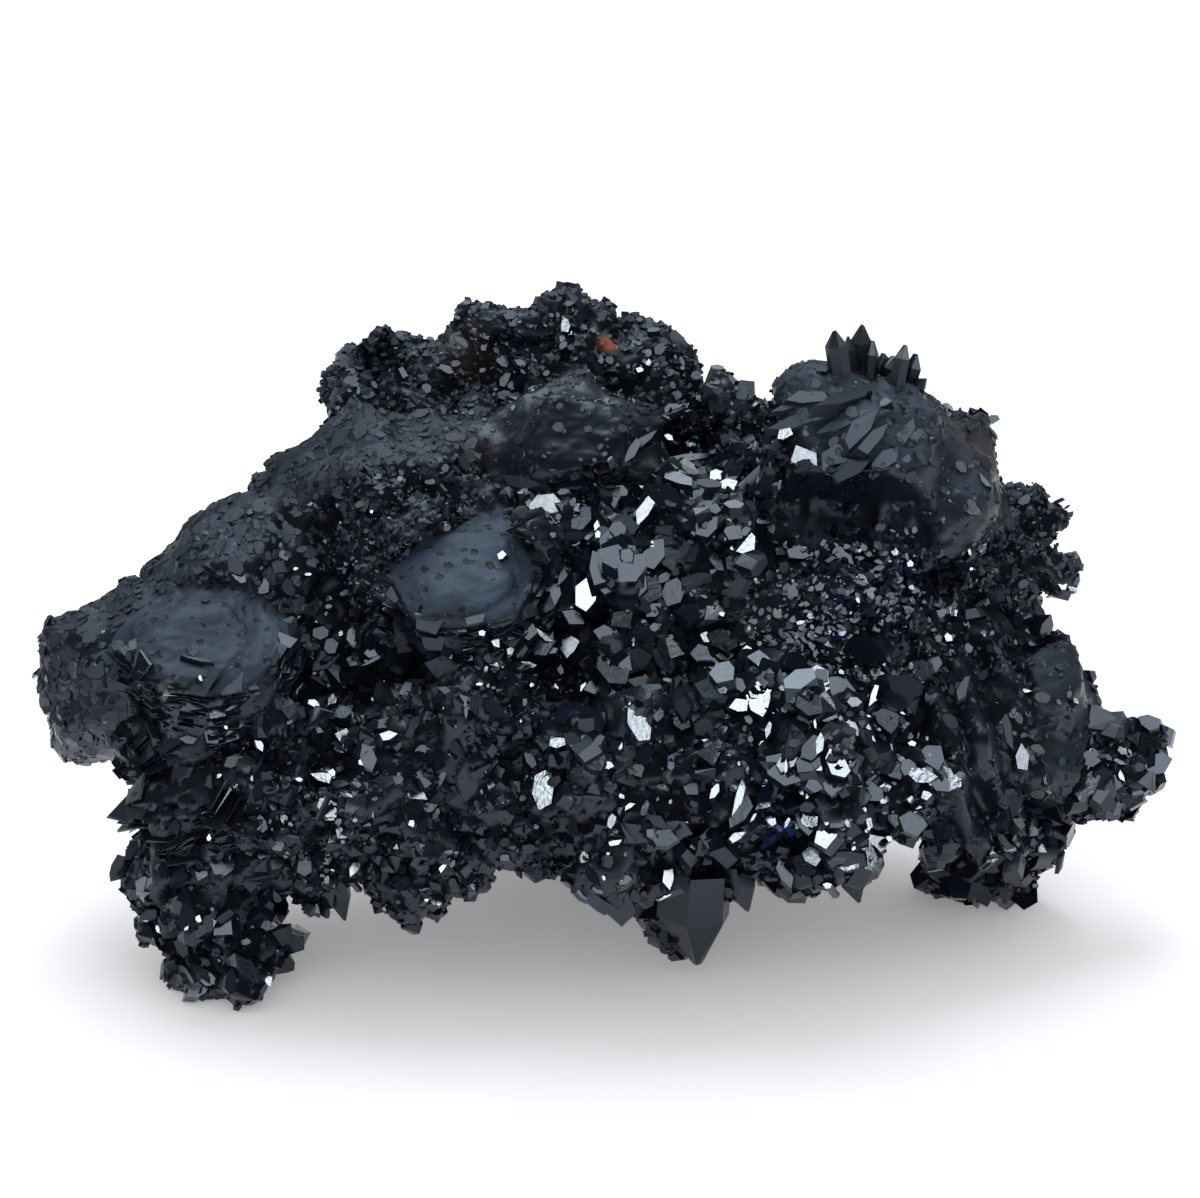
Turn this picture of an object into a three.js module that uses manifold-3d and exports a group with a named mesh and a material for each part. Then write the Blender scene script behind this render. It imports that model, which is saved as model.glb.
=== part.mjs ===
// Azurite specimen: a cabinet piece of dark blue crystals, about 81 mm long.
// Rounded rosettes of stacked blades and lumps studded with tabular crystals have grown into
// one another, so the whole cluster is one natural piece and one solid.
// Millimetres, +Z up, photographed side towards -Y, origin under the middle of its box.

import * as THREE from "three";
import { mergeVertices } from "three/addons/utils/BufferGeometryUtils.js";
import Module from "manifold-3d";

const wasm = await Module();
wasm.setup();

// Driving dimensions
const seed = 40; // every irregular outline comes from this one number
const bladeCorners = 6; // corners of a blade in a rosette
const crystalCorners = 5; // corners of a single tabular crystal
const bladeOverlap = 1.35; // blade thickness over blade spacing, so that a stack is one piece
const rimJitter = 0.12; // how far a blade's rim strays from round, as a share of its radius
const bladeShift = 0.16; // how far a blade sits off the axis of its stack, as a share of its radius
const leanJitter = 0.15; // how far a blade leans at random, in radians
const obliqueShear = 0.35; // the slant of a crystal's edges: azurite is monoclinic
const cornerJitter = 0.25; // how unevenly the corners of a blade are spaced, as a share of a step
const domeFlatness = 0.92; // 1 rounds a stack off to a full dome, less leaves its end blades wider
const crystalSize = [0.8, 1.3]; // least and greatest length of a crystal, over its lump's length
const crystalWidth = [0.6, 0.95]; // its width over its length
const crystalThickness = [0.18, 0.38]; // its thickness over its length
const tipJitter = 0.06; // how far a tip stands off its lump's ellipsoid, as a share of its radius
const tiltJitter = 0.7; // how far a crystal leans away from straight out of its lump
const aroundJitter = 0.4; // how far a crystal strays from its place round the lump, in radians
const lumpJitter = 0.13; // how far a lump strays from its ellipsoid, as a share of its radius
const lumpShare = 0.93; // the body of a lump over the reach of its crystals
const floorBlock = 200; // side of the block that planes off what reaches below the floor

// Rosettes: stacks of blades. at is the middle, radii the half sizes along X, Y and Z,
// axis the way the blades' flat faces look, fan the angle that the stack spreads, in degrees.
const rosettes = {
  leftDome: {
    at: [-25.6, 2, 24.8],
    radii: [6.8, 7.4, 5.6],
    axis: [-0.5, -0.35, 0.8],
    blades: 5,
    fan: 26,
  },
  farLeft: {
    at: [-35.6, -2, 17.4],
    radii: [4.9, 6, 6.2],
    axis: [-0.6, -0.6, 0.5],
    blades: 4,
    fan: 30,
  },
  farLeftShoulder: {
    at: [-33, -1, 22],
    radii: [3.8, 4.6, 3.4],
    axis: [-0.5, -0.3, 0.8],
    blades: 2,
    fan: 18,
  },
  leftFront: {
    at: [-28, -9, 22.6],
    radii: [5.8, 6.2, 5.7],
    axis: [-0.05, -0.35, 0.93],
    blades: 5,
    fan: 44,
  },
  leftLower: {
    at: [-29, -11, 12.6],
    radii: [5.8, 5.6, 5.2],
    axis: [-0.45, -0.3, 0.84],
    blades: 5,
    fan: 34,
  },
  centralDome: {
    at: [-9.9, -7, 27.4],
    radii: [6.2, 6.3, 5.6],
    axis: [-0.1, -0.4, 0.9],
    blades: 5,
    fan: 32,
  },
  valleyDisc: {
    at: [-1.7, 2, 34],
    radii: [6.2, 6, 5.2],
    axis: [0, -0.7, 0.7],
    blades: 4,
    fan: 24,
  },
  upperLeftSlope: {
    at: [-15.8, 4.4, 31.4],
    radii: [6.8, 6.6, 5.4],
    axis: [-0.5, -0.3, 0.8],
    blades: 4,
    fan: 28,
  },
  rightDome: {
    at: [18.3, 3, 31.8],
    radii: [9, 8.8, 8.2],
    axis: [-0.4, -0.42, 0.8],
    blades: 6,
    fan: 40,
  },
  rightBack: {
    at: [28.2, 6, 24.9],
    radii: [4.8, 5.8, 5],
    axis: [0.6, -0.2, 0.75],
    blades: 4,
    fan: 34,
  },
  rightPetals: {
    at: [23.6, -4.5, 15.4],
    radii: [6.4, 6.4, 7.7],
    axis: [0.5, -0.8, 0.2],
    blades: 4,
    fan: 36,
  },
  rightLobe: {
    at: [30.6, -1.5, 15.1],
    radii: [4.8, 5.8, 5.9],
    axis: [0.25, -0.3, 0.9],
    blades: 4,
    fan: 30,
  },
};

// Lumps: angular masses studded with tabular crystals on the side that is free to grow.
// radii are their half sizes, open the free side, length about the length of a crystal;
// facets counts how often the faces of the mass are divided.
const lumps = {
  heart: {
    at: [0, 4, 21],
    radii: [32, 14, 11],
    open: [0, -0.8, 0.6],
    facets: 1,
    crystals: 5,
    length: 6,
  },
  belly: {
    at: [1, 7, 13],
    radii: [24, 11, 8.6],
    open: [0, 0.6, -0.8],
    facets: 1,
    crystals: 5,
    length: 7,
  },
  ridgeLeft: {
    at: [-15.6, 10, 36.4],
    radii: [5.6, 6, 5.4],
    open: [-0.4, -0.2, 0.9],
    facets: 0,
    crystals: 5,
    length: 4,
  },
  ridgeMiddle: {
    at: [-8.6, 12, 36.6],
    radii: [6.2, 6, 6.2],
    open: [0, -0.3, 0.9],
    facets: 0,
    crystals: 4,
    length: 4,
  },
  ridgePeak: {
    at: [-2.8, 12, 37.8],
    radii: [5, 6, 5.9],
    open: [0, -0.3, 0.9],
    facets: 0,
    crystals: 5,
    length: 4,
  },
  ridgeRight: {
    at: [2.2, 11, 36],
    radii: [5, 6, 5.4],
    open: [0.5, -0.4, 0.7],
    facets: 0,
    crystals: 4,
    length: 4,
  },
  saddle: {
    at: [8, 4, 34],
    radii: [5.2, 5.7, 4.8],
    open: [0, -0.7, 0.7],
    facets: 0,
    crystals: 3,
    length: 4,
  },
  upperMiddle: {
    at: [-14.4, -2, 28.4],
    radii: [6.4, 6.4, 6],
    open: [-0.2, -0.8, 0.6],
    facets: 0,
    crystals: 6,
    length: 4,
  },
  leftFoot: {
    at: [-28.4, -13, 5.8],
    radii: [5.4, 5, 8.2],
    open: [-0.1, -0.9, -0.2],
    facets: 0,
    crystals: 6,
    length: 5,
  },
  lowerLeft: {
    at: [-19.8, -11.5, 14],
    radii: [8.2, 7, 8.6],
    open: [0, -1, 0],
    facets: 0,
    crystals: 9,
    length: 5,
  },
  centreFront: {
    at: [-10, -12, 16.4],
    radii: [8.4, 7.5, 9.4],
    open: [0, -1, 0],
    facets: 0,
    crystals: 10,
    length: 5.4,
  },
  centre: {
    at: [0.4, -5, 28.2],
    radii: [6.6, 7, 6.8],
    open: [0, -0.9, 0.4],
    facets: 0,
    crystals: 9,
    length: 5.4,
  },
  centreRight: {
    at: [7.5, -2, 31.4],
    radii: [5, 5.8, 5],
    open: [0, -0.8, 0.5],
    facets: 0,
    crystals: 6,
    length: 5,
  },
  rightMiddle: {
    at: [16.6, -3.6, 23.6],
    radii: [8.8, 7.8, 7],
    open: [0, -0.9, 0.4],
    facets: 0,
    crystals: 7,
    length: 4.6,
  },
  lowerCentre: {
    at: [1.8, -13, 16],
    radii: [8.8, 7, 9.6],
    open: [0, -1, 0],
    facets: 0,
    crystals: 10,
    length: 5.6,
  },
  lowerRight: {
    at: [12.4, -12, 16],
    radii: [9.4, 7, 9.6],
    open: [0.1, -1, 0],
    facets: 0,
    crystals: 10,
    length: 5.6,
  },
  rightEnd: {
    at: [35.6, -3.5, 12],
    radii: [4, 4, 4.4],
    open: [0.8, -0.5, 0.4],
    facets: 0,
    crystals: 3,
    length: 4.5,
  },
  leftFootBack: {
    at: [-29, -6.5, 6.5],
    radii: [5, 5.5, 7.6],
    open: [-0.8, 0.4, -0.2],
    facets: 0,
    crystals: 3,
    length: 5,
  },
  rightFoot: {
    at: [27.9, -0.4, 6.6],
    radii: [5.8, 6, 8.6],
    open: [0.3, -0.9, -0.2],
    facets: 0,
    crystals: 5,
    length: 5.4,
  },
  backLeft: {
    at: [-16.4, 11, 25],
    radii: [8.6, 8, 9],
    open: [-0.4, 0.9, 0.2],
    facets: 0,
    crystals: 4,
    length: 6,
  },
  backMiddle: {
    at: [-2, 14.5, 25],
    radii: [11, 8, 10.5],
    open: [0, 1, 0.2],
    facets: 0,
    crystals: 4,
    length: 7,
  },
  backRight: {
    at: [14.6, 12.5, 23],
    radii: [10.4, 8, 9.5],
    open: [0.4, 0.9, 0.2],
    facets: 0,
    crystals: 4,
    length: 7,
  },
  backFoot: {
    at: [4, 14, 9],
    radii: [11, 6.5, 12],
    open: [0, 1, -0.2],
    facets: 0,
    crystals: 4,
    length: 6,
  },
  underLeft: {
    at: [-23.4, -0.6, 15.6],
    radii: [8.4, 8.6, 7.6],
    open: [-0.7, 0.6, -0.3],
    facets: 0,
    crystals: 2,
    length: 6,
  },
  underRight: {
    at: [22, 6, 15],
    radii: [8, 7, 7.4],
    open: [0.7, 0.6, -0.3],
    facets: 0,
    crystals: 2,
    length: 6,
  },
};

// Large single crystals. tip is the far end of the blade, toward the way it points out of the
// cluster, face the way its flat side looks; size is length, width and thickness.
const singleCrystals = [
  { tip: [5.6, -12.6, 2], toward: [0.05, -0.1, -1], face: [0.3, -0.9, 0.1], size: [9, 6, 3.4] },
  { tip: [-35.8, -12, 7.6], toward: [-0.9, -0.1, -0.3], face: [0.1, -0.8, 0.6], size: [6, 4.4, 2.4] },
  { tip: [15.4, 3.4, 43.2], toward: [-0.15, 0, 1], face: [0.2, -1, 0], size: [5.6, 2.1, 1.5] },
  { tip: [17.2, 3.6, 43.7], toward: [0.1, 0.1, 1], face: [-0.3, -1, 0.1], size: [6.4, 2.3, 1.6] },
  { tip: [20.2, 3.8, 43], toward: [0.4, 0, 1], face: [0.5, -1, 0], size: [6, 2.4, 1.8] },
  { tip: [22, 3.4, 41.8], toward: [0.7, 0, 0.8], face: [0.2, -0.9, 0.6], size: [6, 2.2, 1.6] },
];

// A repeatable source of numbers from 0 to 1.
function numbersFrom(start) {
  let state = start;
  return () => {
    state = (state + 0x6d2b79f5) | 0;
    let mixed = Math.imul(state ^ (state >>> 15), state | 1);
    mixed ^= mixed + Math.imul(mixed ^ (mixed >>> 7), mixed | 61);
    return ((mixed ^ (mixed >>> 14)) >>> 0) / 4294967296;
  };
}
const random = numbersFrom(seed);
const spread = (amount) => (2 * random() - 1) * amount;
const between = ([low, high]) => low + (high - low) * random();

// A closed three.js geometry as a solid that can be joined and cut.
function solidOf(geometry) {
  const bare = new THREE.BufferGeometry();
  bare.setAttribute("position", geometry.getAttribute("position"));
  bare.setIndex(geometry.index);
  const merged = mergeVertices(bare, 1e-4);
  return new wasm.Manifold(
    new wasm.Mesh({
      numProp: 3,
      vertProperties: merged.getAttribute("position").array,
      triVerts: new Uint32Array(merged.index.array),
    }),
  );
}

// Joins solids two by two, so that no single join is a large one until the end.
function joined(solids) {
  let left = solids;
  while (left.length > 1) {
    const pairs = [];
    for (let i = 0; i < left.length; i += 2) {
      pairs.push(i + 1 < left.length ? left[i].add(left[i + 1]) : left[i]);
    }
    left = pairs;
  }
  return left[0];
}

// A flat plate with an irregular rim: corners on an ellipse, in the XY plane, middle at the origin.
function plate(corners, halfLength, halfWidth, thickness) {
  const turn = random() * Math.PI;
  const rim = new THREE.Shape();
  for (let i = 0; i < corners; i += 1) {
    const angle = turn + ((i + spread(cornerJitter)) * 2 * Math.PI) / corners;
    const reach = 1 + spread(rimJitter);
    const x = Math.cos(angle) * halfLength * reach;
    const y = Math.sin(angle) * halfWidth * reach;
    if (i === 0) rim.moveTo(x, y);
    else rim.lineTo(x, y);
  }
  rim.closePath();
  const geometry = new THREE.ExtrudeGeometry(rim, { depth: thickness, bevelEnabled: false });
  return geometry.translate(0, 0, -thickness / 2);
}

// A rosette: round blades stacked along its axis, each leaning a little more than the last.
function rosette({ at, radii, axis, blades, fan }) {
  const stand = new THREE.Quaternion().setFromUnitVectors(
    new THREE.Vector3(0, 0, 1),
    new THREE.Vector3(...axis).normalize(),
  );
  const solids = [];
  for (let i = 0; i < blades; i += 1) {
    const height = (2 * (i + 0.5)) / blades - 1;
    const radius = Math.sqrt(1 - domeFlatness * height * height) * (1 + spread(rimJitter));
    const blade = plate(bladeCorners, radius, radius, (2 / blades) * bladeOverlap);
    blade.translate(spread(bladeShift), spread(bladeShift), height);
    const lean = THREE.MathUtils.degToRad(fan / 2) * height;
    blade.rotateX(lean + spread(leanJitter));
    blade.rotateY(spread(leanJitter));
    blade.applyQuaternion(stand);
    blade.scale(...radii);
    blade.translate(...at);
    solids.push(solidOf(blade));
  }
  return joined(solids);
}

// A tabular crystal with its tip at the origin, pointing along +Y, its flat side looking along +Z.
function tabularCrystal(length, width, thickness) {
  const geometry = plate(crystalCorners, width / 2, length / 2, thickness);
  const slant = new THREE.Matrix4().makeShear(0, 0, 0, 0, spread(obliqueShear), spread(obliqueShear));
  return geometry.applyMatrix4(slant).translate(0, -length / 2, 0);
}

// Turns a crystal to point toward a direction with its flat side near face, tip at the given place.
function placedCrystal(geometry, tip, toward, face) {
  const along = new THREE.Vector3(...toward).normalize();
  const across = new THREE.Vector3().crossVectors(along, new THREE.Vector3(...face)).normalize();
  const flat = new THREE.Vector3().crossVectors(across, along);
  const frame = new THREE.Matrix4().makeBasis(across, along, flat).setPosition(...tip);
  return solidOf(geometry.applyMatrix4(frame));
}

// A lump: an uneven ellipsoid with tabular crystals standing out of its open side.
function lump({ at, radii, facets, open, crystals, length }) {
  const body = mergeVertices(
    new THREE.IcosahedronGeometry(1, facets).deleteAttribute("normal").deleteAttribute("uv"),
  );
  const points = body.getAttribute("position");
  for (let i = 0; i < points.count; i += 1) {
    const reach = lumpShare * (1 + spread(lumpJitter));
    points.setXYZ(i, points.getX(i) * reach, points.getY(i) * reach, points.getZ(i) * reach);
  }
  body.scale(...radii).translate(...at);
  const solids = [solidOf(body)];
  const facing = new THREE.Quaternion().setFromUnitVectors(
    new THREE.Vector3(0, 0, 1),
    new THREE.Vector3(...open).normalize(),
  );
  const goldenAngle = Math.PI * (3 - Math.sqrt(5));
  for (let i = 0; i < crystals; i += 1) {
    const height = 1 - (i + 0.5) / crystals;
    const around = i * goldenAngle + spread(aroundJitter);
    const ring = Math.sqrt(1 - height * height);
    const out = new THREE.Vector3(ring * Math.cos(around), ring * Math.sin(around), height);
    out.applyQuaternion(facing);
    const tip = out.clone().multiply(new THREE.Vector3(...radii)).multiplyScalar(1 + spread(tipJitter));
    tip.add(new THREE.Vector3(...at));
    const tilt = new THREE.Vector3(spread(tiltJitter), spread(tiltJitter), spread(tiltJitter));
    const toward = out.clone().add(tilt);
    const face = new THREE.Vector3(spread(1), spread(1), spread(1));
    const size = length * between(crystalSize);
    const crystal = tabularCrystal(size, size * between(crystalWidth), size * between(crystalThickness));
    solids.push(placedCrystal(crystal, tip.toArray(), toward.toArray(), face.toArray()));
  }
  return joined(solids);
}

// The cluster, planed off level where it stands.
function cluster() {
  const grown = [
    ...Object.values(lumps).map(lump),
    ...Object.values(rosettes).map(rosette),
    ...singleCrystals.map(({ tip, toward, face, size }) =>
      placedCrystal(tabularCrystal(...size), tip, toward, face),
    ),
  ];
  const belowFloor = solidOf(
    new THREE.BoxGeometry(floorBlock, floorBlock, floorBlock).translate(0, 0, -floorBlock / 2),
  );
  return joined(grown).subtract(belowFloor);
}

// The solid's surface as a geometry whose origin is under the middle of its box.
function geometryOf(solid) {
  const mesh = solid.getMesh();
  const geometry = new THREE.BufferGeometry();
  geometry.setAttribute("position", new THREE.BufferAttribute(mesh.vertProperties, 3));
  geometry.setIndex(new THREE.BufferAttribute(mesh.triVerts, 1));
  geometry.computeBoundingBox();
  const middle = geometry.boundingBox.getCenter(new THREE.Vector3());
  return geometry.translate(-middle.x, -middle.y, -geometry.boundingBox.min.z);
}

const azuriteBlue = new THREE.MeshStandardMaterial({ color: 0x10161f, roughness: 0.35, metalness: 0 });
const azurite = new THREE.Mesh(geometryOf(cluster()), azuriteBlue);
azurite.name = "azurite";

const specimen = new THREE.Group();
specimen.name = "azurite_specimen";
specimen.add(azurite);

export default specimen;
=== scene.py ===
import math
import bpy
import numpy as np
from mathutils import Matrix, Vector, noise
from mathutils.bvhtree import BVHTree


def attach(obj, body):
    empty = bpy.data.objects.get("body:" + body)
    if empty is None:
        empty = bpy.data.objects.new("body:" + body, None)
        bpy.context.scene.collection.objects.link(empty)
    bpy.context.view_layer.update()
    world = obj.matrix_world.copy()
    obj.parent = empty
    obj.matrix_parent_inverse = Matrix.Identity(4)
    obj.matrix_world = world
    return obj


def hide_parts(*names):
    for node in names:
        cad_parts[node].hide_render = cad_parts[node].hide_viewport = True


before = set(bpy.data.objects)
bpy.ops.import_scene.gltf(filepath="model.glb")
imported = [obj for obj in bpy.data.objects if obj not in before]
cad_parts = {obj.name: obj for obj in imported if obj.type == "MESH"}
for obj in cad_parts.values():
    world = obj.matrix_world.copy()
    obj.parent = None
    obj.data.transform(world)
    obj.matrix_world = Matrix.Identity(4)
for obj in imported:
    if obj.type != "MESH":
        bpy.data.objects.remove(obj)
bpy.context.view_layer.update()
mm = 0.001
dice = np.random.default_rng(17)  # every irregular thing is drawn from here, in order


def unit(vectors):
    return vectors / np.maximum(np.linalg.norm(vectors, axis=-1, keepdims=True), 1e-9)


# The photograph's camera, in millimetres of the part's frame and pixels of the photograph
camera = {
    "target": (0.25, -4.94, 25.7),
    "distance": 212.0,
    "elevation": 22.0,
    "imageWidth": 1200,
    "imageHeight": 1198,
    "focalPixels": 3000.0,
    "sensor": 36.0,
    "clip": (0.01, 20.0),  # in metres
}


def cameraAxes():
    tilt = math.radians(camera["elevation"])
    forward = np.array((0.0, math.cos(tilt), -math.sin(tilt)))
    right = np.array((1.0, 0.0, 0.0))
    up = np.array((0.0, math.sin(tilt), math.cos(tilt)))
    eye = np.array(camera["target"]) - forward * camera["distance"]
    return eye, forward, right, up


def rayThrough(across, down):
    eye, forward, right, up = cameraAxes()
    ray = forward + right * (across - camera["imageWidth"] / 2) / camera["focalPixels"]
    return eye, unit(ray + up * (camera["imageHeight"] / 2 - down) / camera["focalPixels"])


def pointOnPlane(across, down, plane):
    eye, ray = rayThrough(across, down)
    return eye + ray * (plane - eye[1]) / ray[1]


def makeCamera():
    data = bpy.data.cameras.new("photoCamera")
    data.lens = camera["focalPixels"] / camera["imageWidth"] * camera["sensor"]
    data.sensor_width = camera["sensor"]
    data.clip_start, data.clip_end = camera["clip"]
    eyeObject = bpy.data.objects.new("photoCamera", data)
    bpy.context.scene.collection.objects.link(eyeObject)
    eyeObject.location = Vector(cameraAxes()[0] * mm)
    eyeObject.rotation_euler = (math.radians(90.0 - camera["elevation"]), 0.0, 0.0)
    bpy.context.scene.camera = eyeObject


makeCamera()
print("camera set")

# Lights: directions are from the specimen outwards, distances and sizes in metres
lights = {
    "overhead": {"toward": (-0.1, 0.42, 0.9), "distance": 0.62, "size": 0.42, "radiance": 3.6,
                 "colour": (0.84, 0.93, 1.0)},
    "softFront": {"toward": (0.12, -0.5, 0.86), "distance": 0.5, "size": 0.3, "radiance": 4.6,
                  "colour": (0.9, 0.92, 1.0)},
    "softBack": {"toward": (-0.15, 0.6, 0.78), "distance": 0.5, "size": 0.3, "radiance": 3.4,
                 "colour": (0.9, 0.94, 1.0)},
    "flashLeft": {"toward": (-0.42, -0.5, 0.76), "distance": 0.5, "size": 0.1, "radiance": 30.0,
                  "colour": (1.0, 1.0, 1.0)},
    "flashRight": {"toward": (0.62, -0.35, 0.7), "distance": 0.5, "size": 0.1, "radiance": 30.0,
                   "colour": (1.0, 0.98, 0.98)},
    "flashBack": {"toward": (0.3, 0.75, 0.6), "distance": 0.5, "size": 0.16, "radiance": 16.0,
                  "colour": (1.0, 1.0, 1.0)},
}
smallLamps = ("flashLeft", "flashRight", "flashBack")
softLamps = ("overhead", "softFront", "softBack")
# What the surroundings send: to matt surfaces, to mirrors facing the front and the back, and to the eye
surroundings = {
    "matt": 0.86,
    "front": 0.02,
    "back": 0.45,
    "shown": 1.0,
    "slant": 0.6,  # how the way back and the way up count towards the back
    "dimTo": 0.2,
    "brightFrom": 0.9,
    "mattColour": (0.97, 0.98, 1.0, 1.0),
    "mirrorColour": (0.72, 0.87, 1.0, 1.0),
    "shownColour": (1.0, 1.0, 1.0, 1.0),
}
floorLook = {
    "corners": 96,
    "radius": 3.0,
    "colour": (0.9, 0.885, 0.9, 1.0),
    "roughness": 0.9,
    "specular": 0.1,
    "glowColour": (1.0, 0.985, 1.0, 1.0),
    "glow": 0.2,  # lit from below, so its shadow is pale
}


def lightDirection(name):
    return unit(np.array(lights[name]["toward"], float))


def makeLights():
    aim = np.array(camera["target"]) * mm
    for name, look in lights.items():
        data = bpy.data.lights.new(name, "AREA")
        data.shape = "SQUARE"
        data.size = look["size"]
        data.color = look["colour"]
        data.energy = look["radiance"] * math.pi * look["size"] ** 2  # watts for that radiance
        lamp = bpy.data.objects.new(name, data)
        bpy.context.scene.collection.objects.link(lamp)
        toward = lightDirection(name)
        lamp.location = Vector(aim + toward * look["distance"])
        lamp.rotation_euler = Vector(toward).to_track_quat("Z", "Y").to_euler()
        lamp.visible_diffuse = name == "overhead"  # the others only show in mirrors


def fillNode(tree, node, inputs):
    # inputs by name or number: a socket is linked, any other value is set
    for key, value in inputs.items():
        if isinstance(value, bpy.types.NodeSocket):
            tree.links.new(value, node.inputs[key])
        else:
            node.inputs[key].default_value = value
    return node.outputs


def addNode(tree, kind, inputs, **settings):
    node = tree.nodes.new("ShaderNode" + kind)
    for key, value in settings.items():
        setattr(node, key, value)
    return fillNode(tree, node, inputs)


def addMath(tree, operation, *values):
    return addNode(tree, "Math", dict(enumerate(values)), operation=operation)["Value"]


def addRange(tree, value, span, to=(0.0, 1.0), **settings):
    inputs = {"Value": value, "From Min": span[0], "From Max": span[1], "To Min": to[0], "To Max": to[1]}
    return addNode(tree, "MapRange", inputs, **settings)["Result"]


def makeWorld():
    world = bpy.data.worlds.new("studio")
    bpy.context.scene.world = world
    world.use_nodes = True
    tree = world.node_tree
    tree.nodes.clear()
    look = surroundings
    split = addNode(tree, "SeparateXYZ", {"Vector": addNode(tree, "TexCoord", {})["Generated"]})
    height = addMath(tree, "MULTIPLY", split["Z"], look["slant"])
    slope = addMath(tree, "MULTIPLY_ADD", split["Y"], look["slant"], height)
    span, ends = (look["dimTo"], look["brightFrom"]), (look["front"], look["back"])
    strength = addRange(tree, slope, span, ends, interpolation_type="SMOOTHSTEP")
    mirrored = addNode(tree, "Background", {"Color": look["mirrorColour"], "Strength": strength})
    matt = addNode(tree, "Background", {"Color": look["mattColour"], "Strength": look["matt"]})
    shown = addNode(tree, "Background", {"Color": look["shownColour"], "Strength": look["shown"]})
    path = addNode(tree, "LightPath", {})
    lit = addNode(tree, "MixShader", {0: path["Is Glossy Ray"], 1: matt[0], 2: mirrored[0]})
    seen = addNode(tree, "MixShader", {0: path["Is Camera Ray"], 1: lit[0], 2: shown[0]})
    addNode(tree, "OutputWorld", {"Surface": seen[0]})


def makeFloor():
    bpy.ops.object.select_all(action="DESELECT")
    bpy.ops.mesh.primitive_circle_add(
        vertices=floorLook["corners"], radius=floorLook["radius"], fill_type="NGON", location=(0, 0, 0)
    )
    floor = bpy.context.object
    floor.name = "floor"
    paper = bpy.data.materials.new("palePaper")
    paper.use_nodes = True
    fillNode(paper.node_tree, paper.node_tree.nodes["Principled BSDF"], {
        "Base Color": floorLook["colour"],
        "Roughness": floorLook["roughness"],
        "Specular IOR Level": floorLook["specular"],
        "Emission Color": floorLook["glowColour"],
        "Emission Strength": floorLook["glow"],
    })
    floor.data.materials.append(paper)


makeLights()
makeWorld()
makeFloor()
bpy.context.scene.view_settings.view_transform = "Standard"
print("floor and light set")

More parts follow.
